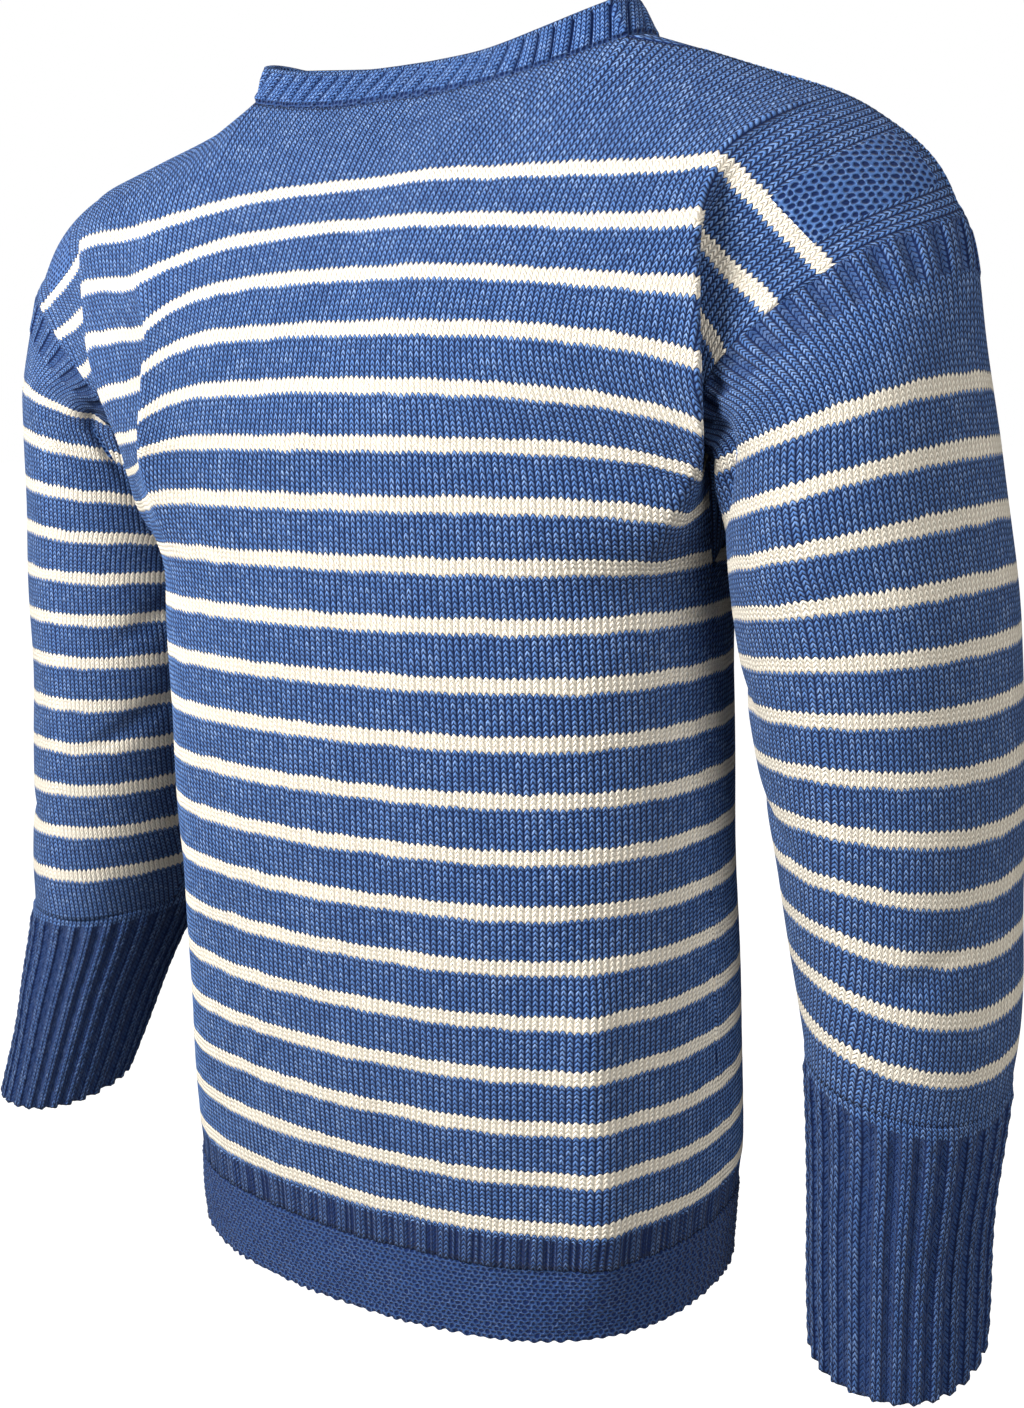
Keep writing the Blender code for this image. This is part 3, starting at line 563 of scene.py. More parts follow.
def shell(name, middle, height, uv, zone, materials, closed=False, coarse=4):
    """A closed knitted wall.  middle is its middle surface in metres, height
    what stands proud of it, uv the stitches, and zone the finish of each cell.
    The inner face takes every coarse-th point and the last of the materials."""
    rows, cols = middle.shape[:2]
    n = normals_of(middle, closed)
    flip = bool(np.sum((middle - outside_from(name)) * n) < 0)
    if flip:
        n = -n
    ri = sorted(set(range(0, rows, coarse)) | {rows - 1})
    ci = sorted(set(range(0, cols, coarse)) | (set() if closed else {cols - 1}))
    outer = middle + n * (WALL / 2 + height[:, :, None])
    inner = (middle - n * WALL / 2)[np.ix_(ri, ci)]
    outer_ids = np.arange(rows * cols).reshape(rows, cols)
    inner_ids = rows * cols + np.arange(len(ri) * len(ci)).reshape(len(ri), len(ci))
    if closed:
        outer_ids, inner_ids, ci = with_first(outer_ids), with_first(inner_ids), ci + [cols]
        uv = np.concatenate([uv, uv[:, -1:] * 2 - uv[:, -2:-1]], 1)
    faces, face_uv, face_finish = [], [], []

    def add(ids, places, finish, turn):
        faces.append(ids[::-1] if turn else ids)
        face_uv.extend(places[::-1] if turn else places)
        face_finish.append(finish)

    def cells(ids, places, finishes, turn):
        ids = ids.tolist()
        for i in range(len(ids) - 1):
            for j in range(len(ids[0]) - 1):
                corners = ((i, j), (i, j + 1), (i + 1, j + 1), (i + 1, j))
                add([ids[a][b] for a, b in corners], [places[c] for c in corners], int(finishes[i, j]), turn)

    def rim(fine, places, rough, at, finish, turn):
        """Join a fine edge of the outer face to the coarse edge of the inner one."""
        for a in range(len(rough) - 1):
            back = range(at[a + 1], at[a] - 1, -1)
            add([int(rough[a]), int(rough[a + 1])] + [int(fine[q]) for q in back],
                [places[at[a]], places[at[a + 1]]] + [places[q] for q in back], int(finish), turn)

    cells(outer_ids, uv, zone, flip)
    cells(inner_ids, uv[np.ix_(ri, ci)], np.full(inner_ids.shape, len(materials) - 1), not flip)
    for i, turn in ((0, flip), (-1, not flip)):
        rim(outer_ids[i], uv[i], inner_ids[i], ci, zone[i, 0], turn)
    if not closed:
        for j, turn in ((0, not flip), (-1, flip)):
            rim(outer_ids[:, j], uv[:, j], inner_ids[:, j], ri, zone[0, j], turn)
    mesh = bpy.data.meshes.new(name)
    mesh.from_pydata(np.concatenate([outer.reshape(-1, 3), inner.reshape(-1, 3)]).tolist(), [], faces)
    layer = mesh.uv_layers.new(name="Stitches")
    layer.data.foreach_set("uv", np.asarray(face_uv, np.float32).ravel())
    for m in materials:
        mesh.materials.append(m)
    mesh.polygons.foreach_set("material_index", np.asarray(face_finish, np.int32))
    mesh.shade_smooth()
    mesh.update()
    obj = bpy.data.objects.new("knit_" + name, mesh)
    bpy.context.scene.collection.objects.link(obj)
    return obj


# ------------------------------------------------------------------ shader nodes
FLOAT, VECTOR, COLOUR = "NodeSocketFloat", "NodeSocketVector", "NodeSocketColor"
# Besides the height, each stitch pattern gives a mask of painted shade for the gaps between its stitches.
STITCH_OUTPUTS = (("Height", FLOAT), ("Gap", FLOAT), ("Course", FLOAT), ("Strand", VECTOR),
                  ("Stitch", VECTOR))
WOOL_SURFACE = {"Roughness": 0.92, "Specular IOR Level": 0.10, "Sheen Weight": 0.05, "Sheen Roughness": 0.55}
UNDYED_GAP_SHADE = 0.30               # how strong the painted shade in the gaps of the cream wool is, to that in the blue
UNDYED_HEATHER = 0.45


class Graph:
    """Short calls for the nodes of one tree."""

    def __init__(self, tree):
        self.tree = tree

    def node(self, kind, **values):
        n = self.tree.nodes.new(kind)
        for key, value in values.items():
            setattr(n, key, value)
        return n

    def feed(self, socket, value):
        if isinstance(value, bpy.types.NodeSocket):
            self.tree.links.new(value, socket)
        else:
            socket.default_value = value

    def math(self, operation, a, b=0.0, c=0.0, clamp=False):
        n = self.node("ShaderNodeMath", operation=operation, use_clamp=clamp)
        for socket, value in zip(n.inputs, (a, b, c)):
            self.feed(socket, value)
        return n.outputs[0]

    def ramp(self, value, low, high, to_low=0.0, to_high=1.0):
        n = self.node("ShaderNodeMapRange", interpolation_type="SMOOTHSTEP")
        labels = ("Value", "From Min", "From Max", "To Min", "To Max")
        for label, v in zip(labels, (value, low, high, to_low, to_high)):
            self.feed(n.inputs[label], v)
        return n.outputs[0]

    def mix(self, factor, a, b):
        n = self.node("ShaderNodeMix", data_type="RGBA")
        for socket, value in zip((n.inputs[0], n.inputs[6], n.inputs[7]), (factor, a, b)):
            self.feed(socket, value)
        return n.outputs[2]

    def join(self, x, y, z=0.0):
        n = self.node("ShaderNodeCombineXYZ")
        for socket, value in zip(n.inputs, (x, y, z)):
            self.feed(socket, value)
        return n.outputs[0]

    def noise(self, vector, scale, detail=2.0, roughness=0.5):
        n = self.node("ShaderNodeTexNoise")
        self.feed(n.inputs["Vector"], vector)
        self.feed(n.inputs["Scale"], scale)
        self.feed(n.inputs["Detail"], detail)
        self.feed(n.inputs["Roughness"], roughness)
        return n.outputs[0]

    def chance(self, vector):
        n = self.node("ShaderNodeTexWhiteNoise", noise_dimensions="2D")
        self.feed(n.inputs["Vector"], vector)
        return n.outputs["Value"]


def new_group(name, inputs, outputs):
    """A node group with its sockets; gives its graph, what comes in and what goes out."""
    tree = bpy.data.node_groups.new(name, "ShaderNodeTree")
    for label, kind, value in inputs:
        socket = tree.interface.new_socket(label, in_out="INPUT", socket_type=kind)
        if value is not None:
            socket.default_value = value
    for label, kind in outputs:
        tree.interface.new_socket(label, in_out="OUTPUT", socket_type=kind)
    g = Graph(tree)
    start, end = g.node("NodeGroupInput"), g.node("NodeGroupOutput")
    return g, start.outputs, end.inputs


def stocking_stitch_group():
    """Arched stitches, one to a wale and course, with painted shade in the gap between wales."""
    g, get, out = new_group(
        "Stocking stitch",
        (("Stitches", VECTOR, None), ("Arch", FLOAT, 0.75), ("Wander", FLOAT, 0.16)), STITCH_OUTPUTS)
    part = g.node("ShaderNodeSeparateXYZ")
    g.feed(part.inputs[0], get["Stitches"])
    u, v = part.outputs[0], part.outputs[1]
    slow = g.noise(g.join(g.math("MULTIPLY", u, 0.21), g.math("MULTIPLY", v, 0.16)), 1.0)
    drift = g.math("SUBTRACT", slow, 0.5)
    wale = g.math("FLOOR", u)
    x = g.math("FRACT", u)
    side = g.math("ABSOLUTE", g.math("MULTIPLY_ADD", x, 2.0, -1.0))
    arch = g.math("MULTIPLY", g.math("POWER", side, 1.3), get["Arch"])
    chance = g.chance(g.join(wale, g.math("FLOOR", v)))
    own = g.math("MULTIPLY", g.math("SUBTRACT", chance, 0.5), get["Wander"])
    wander = g.math("MULTIPLY_ADD", drift, 1.3, g.math("MULTIPLY", own, 0.6))
    w = g.math("ADD", g.math("SUBTRACT", v, arch), wander)
    course = g.math("FLOOR", w)
    t = g.math("FRACT", w)
    ridge = g.math("POWER", g.math("SINE", g.math("MULTIPLY", t, math.pi)), 0.62)
    between = g.math("POWER", side, 2.7)
    cleft = g.math("MULTIPLY", g.ramp(side, 0.0, 0.34, 1.0, 0.0), g.ramp(t, 0.30, 0.95))
    height = g.math("MULTIPLY", ridge, g.math("MULTIPLY_ADD", between, -0.92, 1.0))
    height = g.math("SUBTRACT", height, g.math("MULTIPLY", cleft, 0.60), clamp=True)
    g.feed(out["Height"], height)
    # Painted shade: the lower the strand lies, the darker it is painted.
    g.feed(out["Gap"], g.ramp(height, 0.26, 0.95, 1.0, 0.0))
    g.feed(out["Course"], course)
    g.feed(out["Strand"], g.join(g.math("MULTIPLY", u, 2.2), g.math("MULTIPLY", w, 9.0), 0.0))
    g.feed(out["Stitch"], g.join(wale, course))


def seed_stitch_group():
    """Small round knots with deep holes between them, staggered row by row."""
    g, get, out = new_group(
        "Seed stitch",
        (("Stitches", VECTOR, None), ("Across", FLOAT, 1.0), ("Down", FLOAT, 1.0)), STITCH_OUTPUTS)
    part = g.node("ShaderNodeSeparateXYZ")
    g.feed(part.inputs[0], get["Stitches"])
    wobble = g.math("SUBTRACT", g.noise(get["Stitches"], 0.55), 0.5)
    u = g.math("ADD", g.math("MULTIPLY", part.outputs[0], get["Across"]), g.math("MULTIPLY", wobble, 0.8))
    v = g.math("ADD", g.math("MULTIPLY", part.outputs[1], get["Down"]), g.math("MULTIPLY", wobble, -0.7))
    row = g.math("FLOOR", v)
    shifted = g.math("ADD", u, g.math("MULTIPLY", g.math("MODULO", row, 2.0), 0.5))
    x = g.math("MULTIPLY_ADD", g.math("FRACT", shifted), 2.0, -1.0)
    y = g.math("MULTIPLY_ADD", g.math("FRACT", v), 2.0, -0.85)
    flat_y = g.math("MULTIPLY", g.math("MULTIPLY", y, y), 0.7)
    far = g.math("SQRT", g.math("ADD", g.math("MULTIPLY", x, x), flat_y))
    size = g.math("MULTIPLY_ADD", g.chance(g.join(g.math("FLOOR", shifted), row)), 0.35, 0.75)
    height = g.ramp(g.math("DIVIDE", far, size), 0.30, 1.15)
    g.feed(out["Height"], height)
    # Painted shade in the holes between the knots.
    g.feed(out["Gap"], g.ramp(height, 0.15, 0.95, 1.0, 0.0))
    g.feed(out["Course"], row)
    g.feed(out["Strand"], g.join(g.math("MULTIPLY", far, 6.0), g.math("MULTIPLY", u, 2.0), v))
    g.feed(out["Stitch"], g.join(g.math("FLOOR", shifted), row))


def wool_group():
    """Heathered worsted: a colour of its own for each stitch, finer light and
    dark fibres along the strand, and painted shade in the gaps."""
    g, get, out = new_group(
        "Worsted wool",
        (("Colour", COLOUR, None), ("Depth colour", COLOUR, None), ("Fibre colour", COLOUR, None),
         ("Height", FLOAT, 0.0), ("Gap", FLOAT, 0.0), ("Strand", VECTOR, None), ("Stitch", VECTOR, None),
         ("Heather", FLOAT, 0.5)),
        (("Colour", COLOUR), ("Height", FLOAT)))
    patch = g.noise(get["Stitch"], 0.11, 3.0)
    own = g.chance(get["Stitch"])
    fibre = g.noise(get["Strand"], 1.0, 3.0, 0.62)
    tone = g.math("ADD", g.math("MULTIPLY", g.math("SUBTRACT", own, 0.5), 0.70),
                  g.math("MULTIPLY", g.math("SUBTRACT", patch, 0.5), 0.55))
    tone = g.math("ADD", tone, g.math("MULTIPLY", g.math("SUBTRACT", fibre, 0.5), 1.9))
    tone = g.math("MULTIPLY", tone, get["Heather"])
    light = g.ramp(tone, 0.02, 0.75)
    dark = g.ramp(g.math("MULTIPLY", tone, -1.0), 0.02, 0.80)
    colour = g.mix(light, get["Colour"], get["Fibre colour"])
    colour = g.mix(g.math("MULTIPLY", dark, 0.55), colour, get["Depth colour"])
    # Painted shade: where the gap mask is high the colour is darkened towards the dark colour.
    colour = g.mix(get["Gap"], colour, get["Depth colour"])
    g.feed(out["Colour"], colour)
    g.feed(out["Height"], g.math("MULTIPLY_ADD", fibre, 0.30, get["Height"]))


def columns_group():
    """A mask on some stitch columns of each period, such as the purl of a rib."""
    g, get, out = new_group(
        "Stitch columns",
        (("Stitches", VECTOR, None), ("Period", FLOAT, 4.0), ("Centre", FLOAT, 0.0),
         ("Half width", FLOAT, 1.0),
         ("Softness", FLOAT, 0.3)),
        (("Mask", FLOAT),))
    part = g.node("ShaderNodeSeparateXYZ")
    g.feed(part.inputs[0], get["Stitches"])
    periods = g.math("DIVIDE", g.math("SUBTRACT", part.outputs[0], get["Centre"]), get["Period"])
    turn = g.math("FRACT", g.math("ADD", periods, 0.5))
    off = g.math("MULTIPLY", g.math("ABSOLUTE", g.math("SUBTRACT", turn, 0.5)), get["Period"])
    outer = g.math("ADD", get["Half width"], get["Softness"])
    g.feed(out["Mask"], g.ramp(off, get["Half width"], outer, 1.0, 0.0))


def stripes_group():
    """Pale stripes: the first courses of each repeat, from the first stripe to the last."""
    g, get, out = new_group(
        "Pale stripes",
        (("Course", FLOAT, 0.0), ("Repeat", FLOAT, 11.0), ("Pale", FLOAT, 3.0), ("Stripes", FLOAT, 20.0)),
        (("Mask", FLOAT),))
    c = g.math("ADD", get["Course"], 0.5)
    inside = g.math("MULTIPLY", g.math("GREATER_THAN", c, 0.0),
                    g.math("LESS_THAN", c, g.math("MULTIPLY", get["Repeat"], get["Stripes"])))
    before = g.math("MULTIPLY", g.math("FLOOR", g.math("DIVIDE", c, get["Repeat"])), get["Repeat"])
    step = g.math("SUBTRACT", c, before)
    g.feed(out["Mask"], g.math("MULTIPLY", inside, g.math("LESS_THAN", step, get["Pale"])))


def use_group(g, name, **values):
    """Place a node group and give its inputs their values."""
    n = g.node("ShaderNodeGroup")
    n.node_tree = bpy.data.node_groups[name]
    for key, value in values.items():
        g.feed(n.inputs[key.replace("_", " ")], value)
    return n.outputs


def wool(g, stitches, height, gap_shade, heather, colour, fibre, dark_and_shade):
    """One yarn on the stitches, with its colours from the settings."""
    settings = bpy.context.scene.jumper
    # The last colour is the dark one: painted shade in the gaps, and the darkest fibres.
    return use_group(g, "Worsted wool", Colour=(*getattr(settings, colour), 1.0),
                     Depth_colour=(*getattr(settings, dark_and_shade), 1.0),
                     Fibre_colour=(*getattr(settings, fibre), 1.0),
                     Height=height, Gap=gap_shade, Strand=stitches["Strand"], Stitch=stitches["Stitch"],
                     Heather=heather)


def knit_material(name, stitch="Stocking stitch", stripes=0, bump=0.0013, columns=(), shade=0.7, deep=0.0,
                  **stitch_values):
    """One finish of the knit.  stripes is how many pale stripes it carries;
    columns are the period, centre and half width of its sunken columns; shade
    is how much painted shade these take, and the next argument how much painted shade lies over every strand."""
    m = bpy.data.materials.new(name)
    m.use_nodes = True
    g = Graph(m.node_tree)
    p = m.node_tree.nodes["Principled BSDF"]
    place_on = g.node("ShaderNodeUVMap", uv_map="Stitches").outputs[0]
    s = use_group(g, stitch, Stitches=place_on, **stitch_values)
    height, gap_shade = s["Height"], s["Gap"]
    for period, centre, half in columns:
        sunken = use_group(g, "Stitch columns", Stitches=place_on, Period=period, Centre=centre,
                           Half_width=half, Softness=0.35)["Mask"]
        # Painted shade on the sunken columns.
        gap_shade = g.math("MAXIMUM", gap_shade, g.math("MULTIPLY", sunken, shade))
        height = g.math("MULTIPLY", height, g.math("MULTIPLY_ADD", sunken, -0.5, 1.0))
    if deep:
        # Painted shade laid over every strand, for the shade of the deeper textures.
        gap_shade = g.math("MULTIPLY_ADD", gap_shade, 1.0 - deep, deep)
    blue = wool(g, s, height, gap_shade, 1.0, "blue", "light_blue", "dark_fibre_and_shade_blue")
    colour = blue["Colour"]
    if stripes:
        # The cream stripes take a weaker painted shade in their gaps.
        pale = wool(g, s, s["Height"], g.math("MULTIPLY", s["Gap"], UNDYED_GAP_SHADE), UNDYED_HEATHER,
                    "cream", "milk", "dark_fibre_and_shade_cream")
        mask = use_group(g, "Pale stripes", Course=s["Course"], Repeat=float(COURSES),
                         Pale=float(PALE_COURSES), Stripes=float(stripes))["Mask"]
        colour = g.mix(mask, blue["Colour"], pale["Colour"])
    g.feed(p.inputs["Base Color"], colour)
    for key, value in WOOL_SURFACE.items():
        p.inputs[key].default_value = value
    b = g.node("ShaderNodeBump")
    b.inputs["Strength"].default_value = 1.0
    b.inputs["Distance"].default_value = bump
    g.feed(b.inputs["Height"], blue["Height"])
    g.feed(p.inputs["Normal"], b.outputs[0])


# In these finishes, the darkness of the sunken columns and of every strand is painted shade.
FINISHES = {                    # a short word, then the material and how it is knitted
    "striped": ("Striped_stocking_stitch", dict(stripes=BODY_STRIPES)),
    "sleeve": ("Striped_sleeve_stitch", dict(stripes=SLEEVE_STRIPES)),
    "plain": ("Plain_stocking_stitch", {}),
    "rib": ("Cuff_rib", dict(columns=((RIB, 0.0, 0.75),), deep=0.42)),
    "head": ("Sleeve_head_rib", dict(columns=((RIB, 0.0, 0.70),), shade=0.60, deep=0.14)),
    "hem": ("Welt_top_rib", dict(columns=[(HEM_RIB, at, 0.16) for at in HEM_GROOVES], shade=0.97, deep=0.52)),
    "collar": ("Collar_rib", dict(bump=0.0004, columns=((RIB, 0.0, 0.20),), shade=1.0, deep=0.12)),
    "seed": ("Seed_stitch", dict(stitch="Seed stitch", bump=0.0009, deep=0.32, Across=1.1, Down=0.80)),
    "garter": ("Garter_stitch", dict(stitch="Seed stitch", bump=0.0009, deep=0.72)),
    "inside": ("Inside_of_the_knit", dict(stitch="Seed stitch", bump=0.0004)),
}


def knit_materials():
    """The finishes of the knit, made on first use."""
    if "Worsted wool" not in bpy.data.node_groups:
        for make in (stocking_stitch_group, seed_stitch_group, wool_group, stripes_group, columns_group):
            make()
    have = bpy.data.materials
    for name, values in FINISHES.values():
        if name not in have:
            knit_material(name, **values)
    return {word: have[name] for word, (name, _) in FINISHES.items()}


# ------------------------------------------------------------------ pieces
def courses(rows):
    """Courses down from the upper edge of the top stripe."""
    return np.asarray(rows, float) * COURSES + STRIPE_LEAD


def grid_uv(rows, u):
    """Wale and course at each point; u in wales, for a row or for every point."""
    return np.stack(np.broadcast_arrays(np.atleast_2d(u), courses(rows)[:, None]), -1)


def mid_rows(rows):
    return (rows[1:] + rows[:-1]) / 2


def knit(name, middle, height, uv, zone, finishes, closed=False):
    """Make one piece and say what it is: zone counts through its finishes."""
    materials = knit_materials()
    obj = shell(name, middle, height, uv, zone, [materials[f] for f in finishes + ("inside",)], closed)
    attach(obj, "root")
    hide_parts(name)


def make_panel(face):
    settings = bpy.context.scene.jumper
    rows = np.r_[np.linspace(ROW_TOP + 0.03, ROW_GUSSET, 80), np.linspace(ROW_GUSSET, ROW_BODY_END, 84)[1:]]
    grid = panel(face, rows, PANEL_WALES)
    r = rows[:, None]
    wales = np.array([through(YOKE_WALES, row)[0] for row in rows])[:, None]
    middle_wale = PANEL_WALES / 2 + 0.5
    u = (np.arange(grid.shape[1])[None, :] / (PANEL_WALES * PER_WALE) - 0.5) * wales + middle_wale
    height = settings.wale_height * wale_wave(u) * (1 - 0.6 * smooth((wales - PANEL_WALES) / 4))
    hem = smooth((r - ROW_HEM) / 0.06) * smooth((ROW_BODY_END + 0.1 - r) / 0.1)
    ribs = 0.4 - groove(u, HEM_RIB, HEM_GROOVES, 0.28)
    height = height * (1 - hem) + hem * settings.rib_height * 0.5 * ribs
    from_edge = wales / 2 - np.abs(u - middle_wale)
    height = height + np.exp(-((from_edge - 0.7) / 0.8) ** 2) * (r < ROW_UNDERARM) * BEAD
    zone = np.zeros((len(rows) - 1, grid.shape[1] - 1), int)
    in_seed = ((from_edge > SEED_WALES[0]) & (from_edge < SEED_WALES[1])
               & (r > SEED_ROWS[0]) & (r < SEED_ROWS[1]))
    zone[in_seed[:-1, :-1]] = 1
    zone[mid_rows(rows) > ROW_HEM + 0.02] = 2
    height[in_seed] = settings.wale_height * 0.4
    seed = 3 if face == "front" else 4
    height += settings.unevenness * lumps(grid[:, :, 0] * 0.9, grid[:, :, 2] * 0.8, seed)
    knit(face + "_panel", place(grid), height, grid_uv(rows, u), zone, ("striped", "seed", "hem"))


def make_welt(face):
    settings = bpy.context.scene.jumper
    rows = np.linspace(ROW_BODY_END, ROW_WELT_END, 30)
    grid = panel(face, rows, PANEL_WALES)
    u = np.arange(grid.shape[1]) / PER_WALE + 0.5
    r = rows[:, None]
    end = smooth((r - (ROW_WELT_END - 0.14)) / 0.12)
    net = np.sin(np.pi * u)[None, :] * np.cos(np.pi * r * COURSES)
    height = (0.0005 + 0.0006 * net * (1 - end)
              + BEAD * end * (0.5 + 0.5 * np.sin(2 * np.pi * u / 2.6 + 1.5 * np.sin(u * 0.7)))[None, :])
    height = height + settings.unevenness * lumps(grid[:, :, 0] * 1.6, grid[:, :, 2] * 2.0, 11)
    zone = np.zeros((len(rows) - 1, grid.shape[1] - 1), int)
    middle = place(grid)
    middle[-1, :, 2] += WAVE * np.sin(2 * np.pi * u / 2.0 + 2.0 * np.sin(u * 0.31))
    knit(face + "_welt", middle, height, grid_uv(rows, u), zone, ("garter",))


def on_side(hand, grid):
    """Points that are drawn as on +X, on the side of the given hand."""
    return grid * np.array((1.0 if hand == "left" else -1.0, 1.0, 1.0))


def make_sleeve(hand):
    settings = bpy.context.scene.jumper
    rows = np.r_[np.linspace(SLEEVE_SEAM, 0, 36), np.linspace(0, SLEEVE_END, 112)[1:]]
    shares = np.arange(SLEEVE_MESH + 1) / SLEEVE_MESH
    grid = on_side(hand, sleeve(hand, rows, shares))
    wales = np.array([through(SLEEVE_WALES, row)[0] for row in rows])[:, None]
    u = (shares[None, :] - 0.5) * wales + CUFF_WALES / 2
    r = rows[:, None]
    band = smooth((r - SLEEVE_SEAM - 0.06) / 0.06) * smooth((HEAD_RIB_END + 0.04 - r) / 0.08)
    height = settings.wale_height * 0.7 * (1 - band) + band * settings.rib_height * 0.8 * (rib_wave(u) - 0.4)
    across = np.cos(2 * np.pi * shares)[None, :] * 3
    height = height + settings.unevenness * lumps(across, grid[:, :, 2] * 0.9, 21)
    height = height + sleeve_creases(rows, shares) * REPEAT
    zone = np.zeros((len(rows) - 1, grid.shape[1] - 1), int)
    zone[mid_rows(rows) < HEAD_RIB_END] = 1
    early = np.interp(rows, (0.0, SLEEVE_STRIPES - 1), RIGHT_STRIPES_EARLY) if hand == "right" else 0.0
    knit("sleeve_" + hand, place(grid), height, grid_uv(rows + early, u), zone, ("sleeve", "head"))


def make_cuff(hand):
    settings = bpy.context.scene.jumper
    rows = np.linspace(SLEEVE_END, CUFF_END, 70)
    cols = CUFF_WALES * PER_WALE
    angle = slit(SLEEVE_END) + (2 * np.pi - 2 * slit(SLEEVE_END)) * np.arange(cols) / cols
    grid = on_side(hand, np.array([ring_points(hand, row, angle) for row in rows]))
    u = np.arange(cols) / PER_WALE
    r = rows[:, None]
    ribbed = smooth((r - SLEEVE_END - 0.12) / 0.22)
    height = (settings.wale_height * 0.7 + ribbed * settings.rib_height * (rib_wave(u)[None, :] - 0.55)
              + 0.0005 * ribbed * np.sin(np.pi * u)[None, :] * np.sin(np.pi * r * COURSES / 2)
              + settings.unevenness * lumps(3 * np.cos(angle)[None, :], r * 1.3, 31))
    zone = np.zeros((len(rows) - 1, cols), int)
    zone[mid_rows(rows) > SLEEVE_END + 0.22] = 1
    middle = place(grid)
    middle[-1, :, 2] += WAVE * np.sin(2 * np.pi * u / 2.0)
    knit("cuff_" + hand, middle, height, grid_uv(rows, u), zone, ("plain", "rib"),
         closed=True)


def make_collar():
    settings = bpy.context.scene.jumper
    cols = COLLAR_RIBS * 12
    ring, lean = collar_ring(cols)
    t = np.linspace(1.0, 0.0, 28)[:, None]
    grid = ring + lean * t[:, :, None]
    u = np.arange(cols) / cols * COLLAR_RIBS * RIB
    slant = u[None, :] + (0.5 - t) * 4.0 + 0.25 * np.sin(u * 0.43)[None, :]
    bead = smooth((t - 0.86) / 0.05)
    foot = smooth(t / 0.18)
    height = (settings.rib_height * 1.05 * (0.45 - groove(slant, RIB, (0.0,), 0.46)) * (1 - bead) * foot
              + 0.0010 * bead - 0.0011 * (1 - foot) * (0.5 + 0.5 * np.sin(2 * np.pi * u / 1.7))[None, :])
    uv = np.stack(np.broadcast_arrays(slant, (1 - t) * COURSES * 0.95), -1)
    zone = np.zeros((len(t) - 1, cols), int)
    mid = (t[1:, 0] + t[:-1, 0]) / 2
    zone[mid < 0.13] = 1
    zone[mid > 0.88] = 2
    knit("collar_band", place(grid), height, uv, zone, ("collar", "garter", "plain"),
         closed=True)


def make_gussets():
    for hand in ("left", "right"):
        for kind, grid in (("underarm", underarm_gusset(hand)), ("neck", neck_gusset(hand))):
            middle = place(on_side(hand, grid))
            n = grid.shape[0]
            step = np.linalg.norm(middle[:, 1:] - middle[:, :-1], axis=2).mean() / (REPEAT * 0.12)
            u = np.arange(n) * step
            uv = np.stack(np.broadcast_arrays(u[None, :], 1.3 * u[:, None]), -1)
            knit(kind + "_gusset_" + hand, middle, np.zeros((n, n)), uv, np.zeros((n - 1, n - 1), int),
                 ("plain",))


# ------------------------------------------------------------------ settings
class JumperSettings(bpy.types.PropertyGroup):
    blue: FloatVectorProperty(name="Blue", description="Main wool", subtype="COLOR",
                              default=(0.087, 0.190, 0.450))
    light_blue: FloatVectorProperty(name="Light fibres", description="Lightest fibres of the blue wool",
                                    subtype="COLOR", default=(0.268, 0.405, 0.690))
    # Painted shade: the dark blue that the gaps and sunken columns are mixed towards; also the tone of the
    # darkest blue fibres.
    dark_fibre_and_shade_blue: FloatVectorProperty(name="Depth", description="Colour between the stitches", subtype="COLOR",
                              default=(0.003, 0.012, 0.060))
    cream: FloatVectorProperty(name="Cream", description="Stripe wool", subtype="COLOR",
                               default=(0.86, 0.80, 0.68))
    milk: FloatVectorProperty(name="Light cream fibres", description="Lightest fibres of the cream wool",
                              subtype="COLOR", default=(0.91, 0.87, 0.78))
    # Painted shade: the dark colour that the gaps of the cream stripes are mixed towards; also the tone of
    # the darkest cream fibres.
    dark_fibre_and_shade_cream: FloatVectorProperty(name="Cream depth", description="Colour between cream stitches",
                               subtype="COLOR",
                               default=(0.50, 0.36, 0.22))
    wale_height: FloatProperty(name="Wale height", description="How far a stitch column stands out",
                               unit="LENGTH",
                               default=0.0009)
    rib_height: FloatProperty(name="Rib height", description="Depth of the ribbing", unit="LENGTH",
                              default=0.0026)
    unevenness: FloatProperty(name="Unevenness", description="Slow swell of the hand-steamed cloth",
                              unit="LENGTH",
                              default=0.0009)


# ------------------------------------------------------------------ operators
AMBIENT = 0.24                  # light from all round; where the camera looks past the piece it is white
LAMPS = (                       # name, place, aim, size, watts
    ("Key", (-0.52, -1.22, 0.30), (0.0, 0.0, -0.05), 0.8, 50.0),
    ("Fill", (1.9, -1.3, 0.3), (0.0, 0.0, -0.1), 1.2, 36.0),
    ("Top", (0.2, 0.4, 1.5), (0.0, 0.0, -0.1), 1.0, 3.0),
)
FLOOR_RADIUS, FLOOR_DROP, FLOOR_GREY = 30.0, 0.75, 0.25
CAMERA_PLACE = (0.5310, -0.7504, -0.1594)
CAMERA_ANGLES = (33.334, 10.56, 0.891)          # turn to the left, tilt down and roll, in degrees
CAMERA_LENS = 44.15


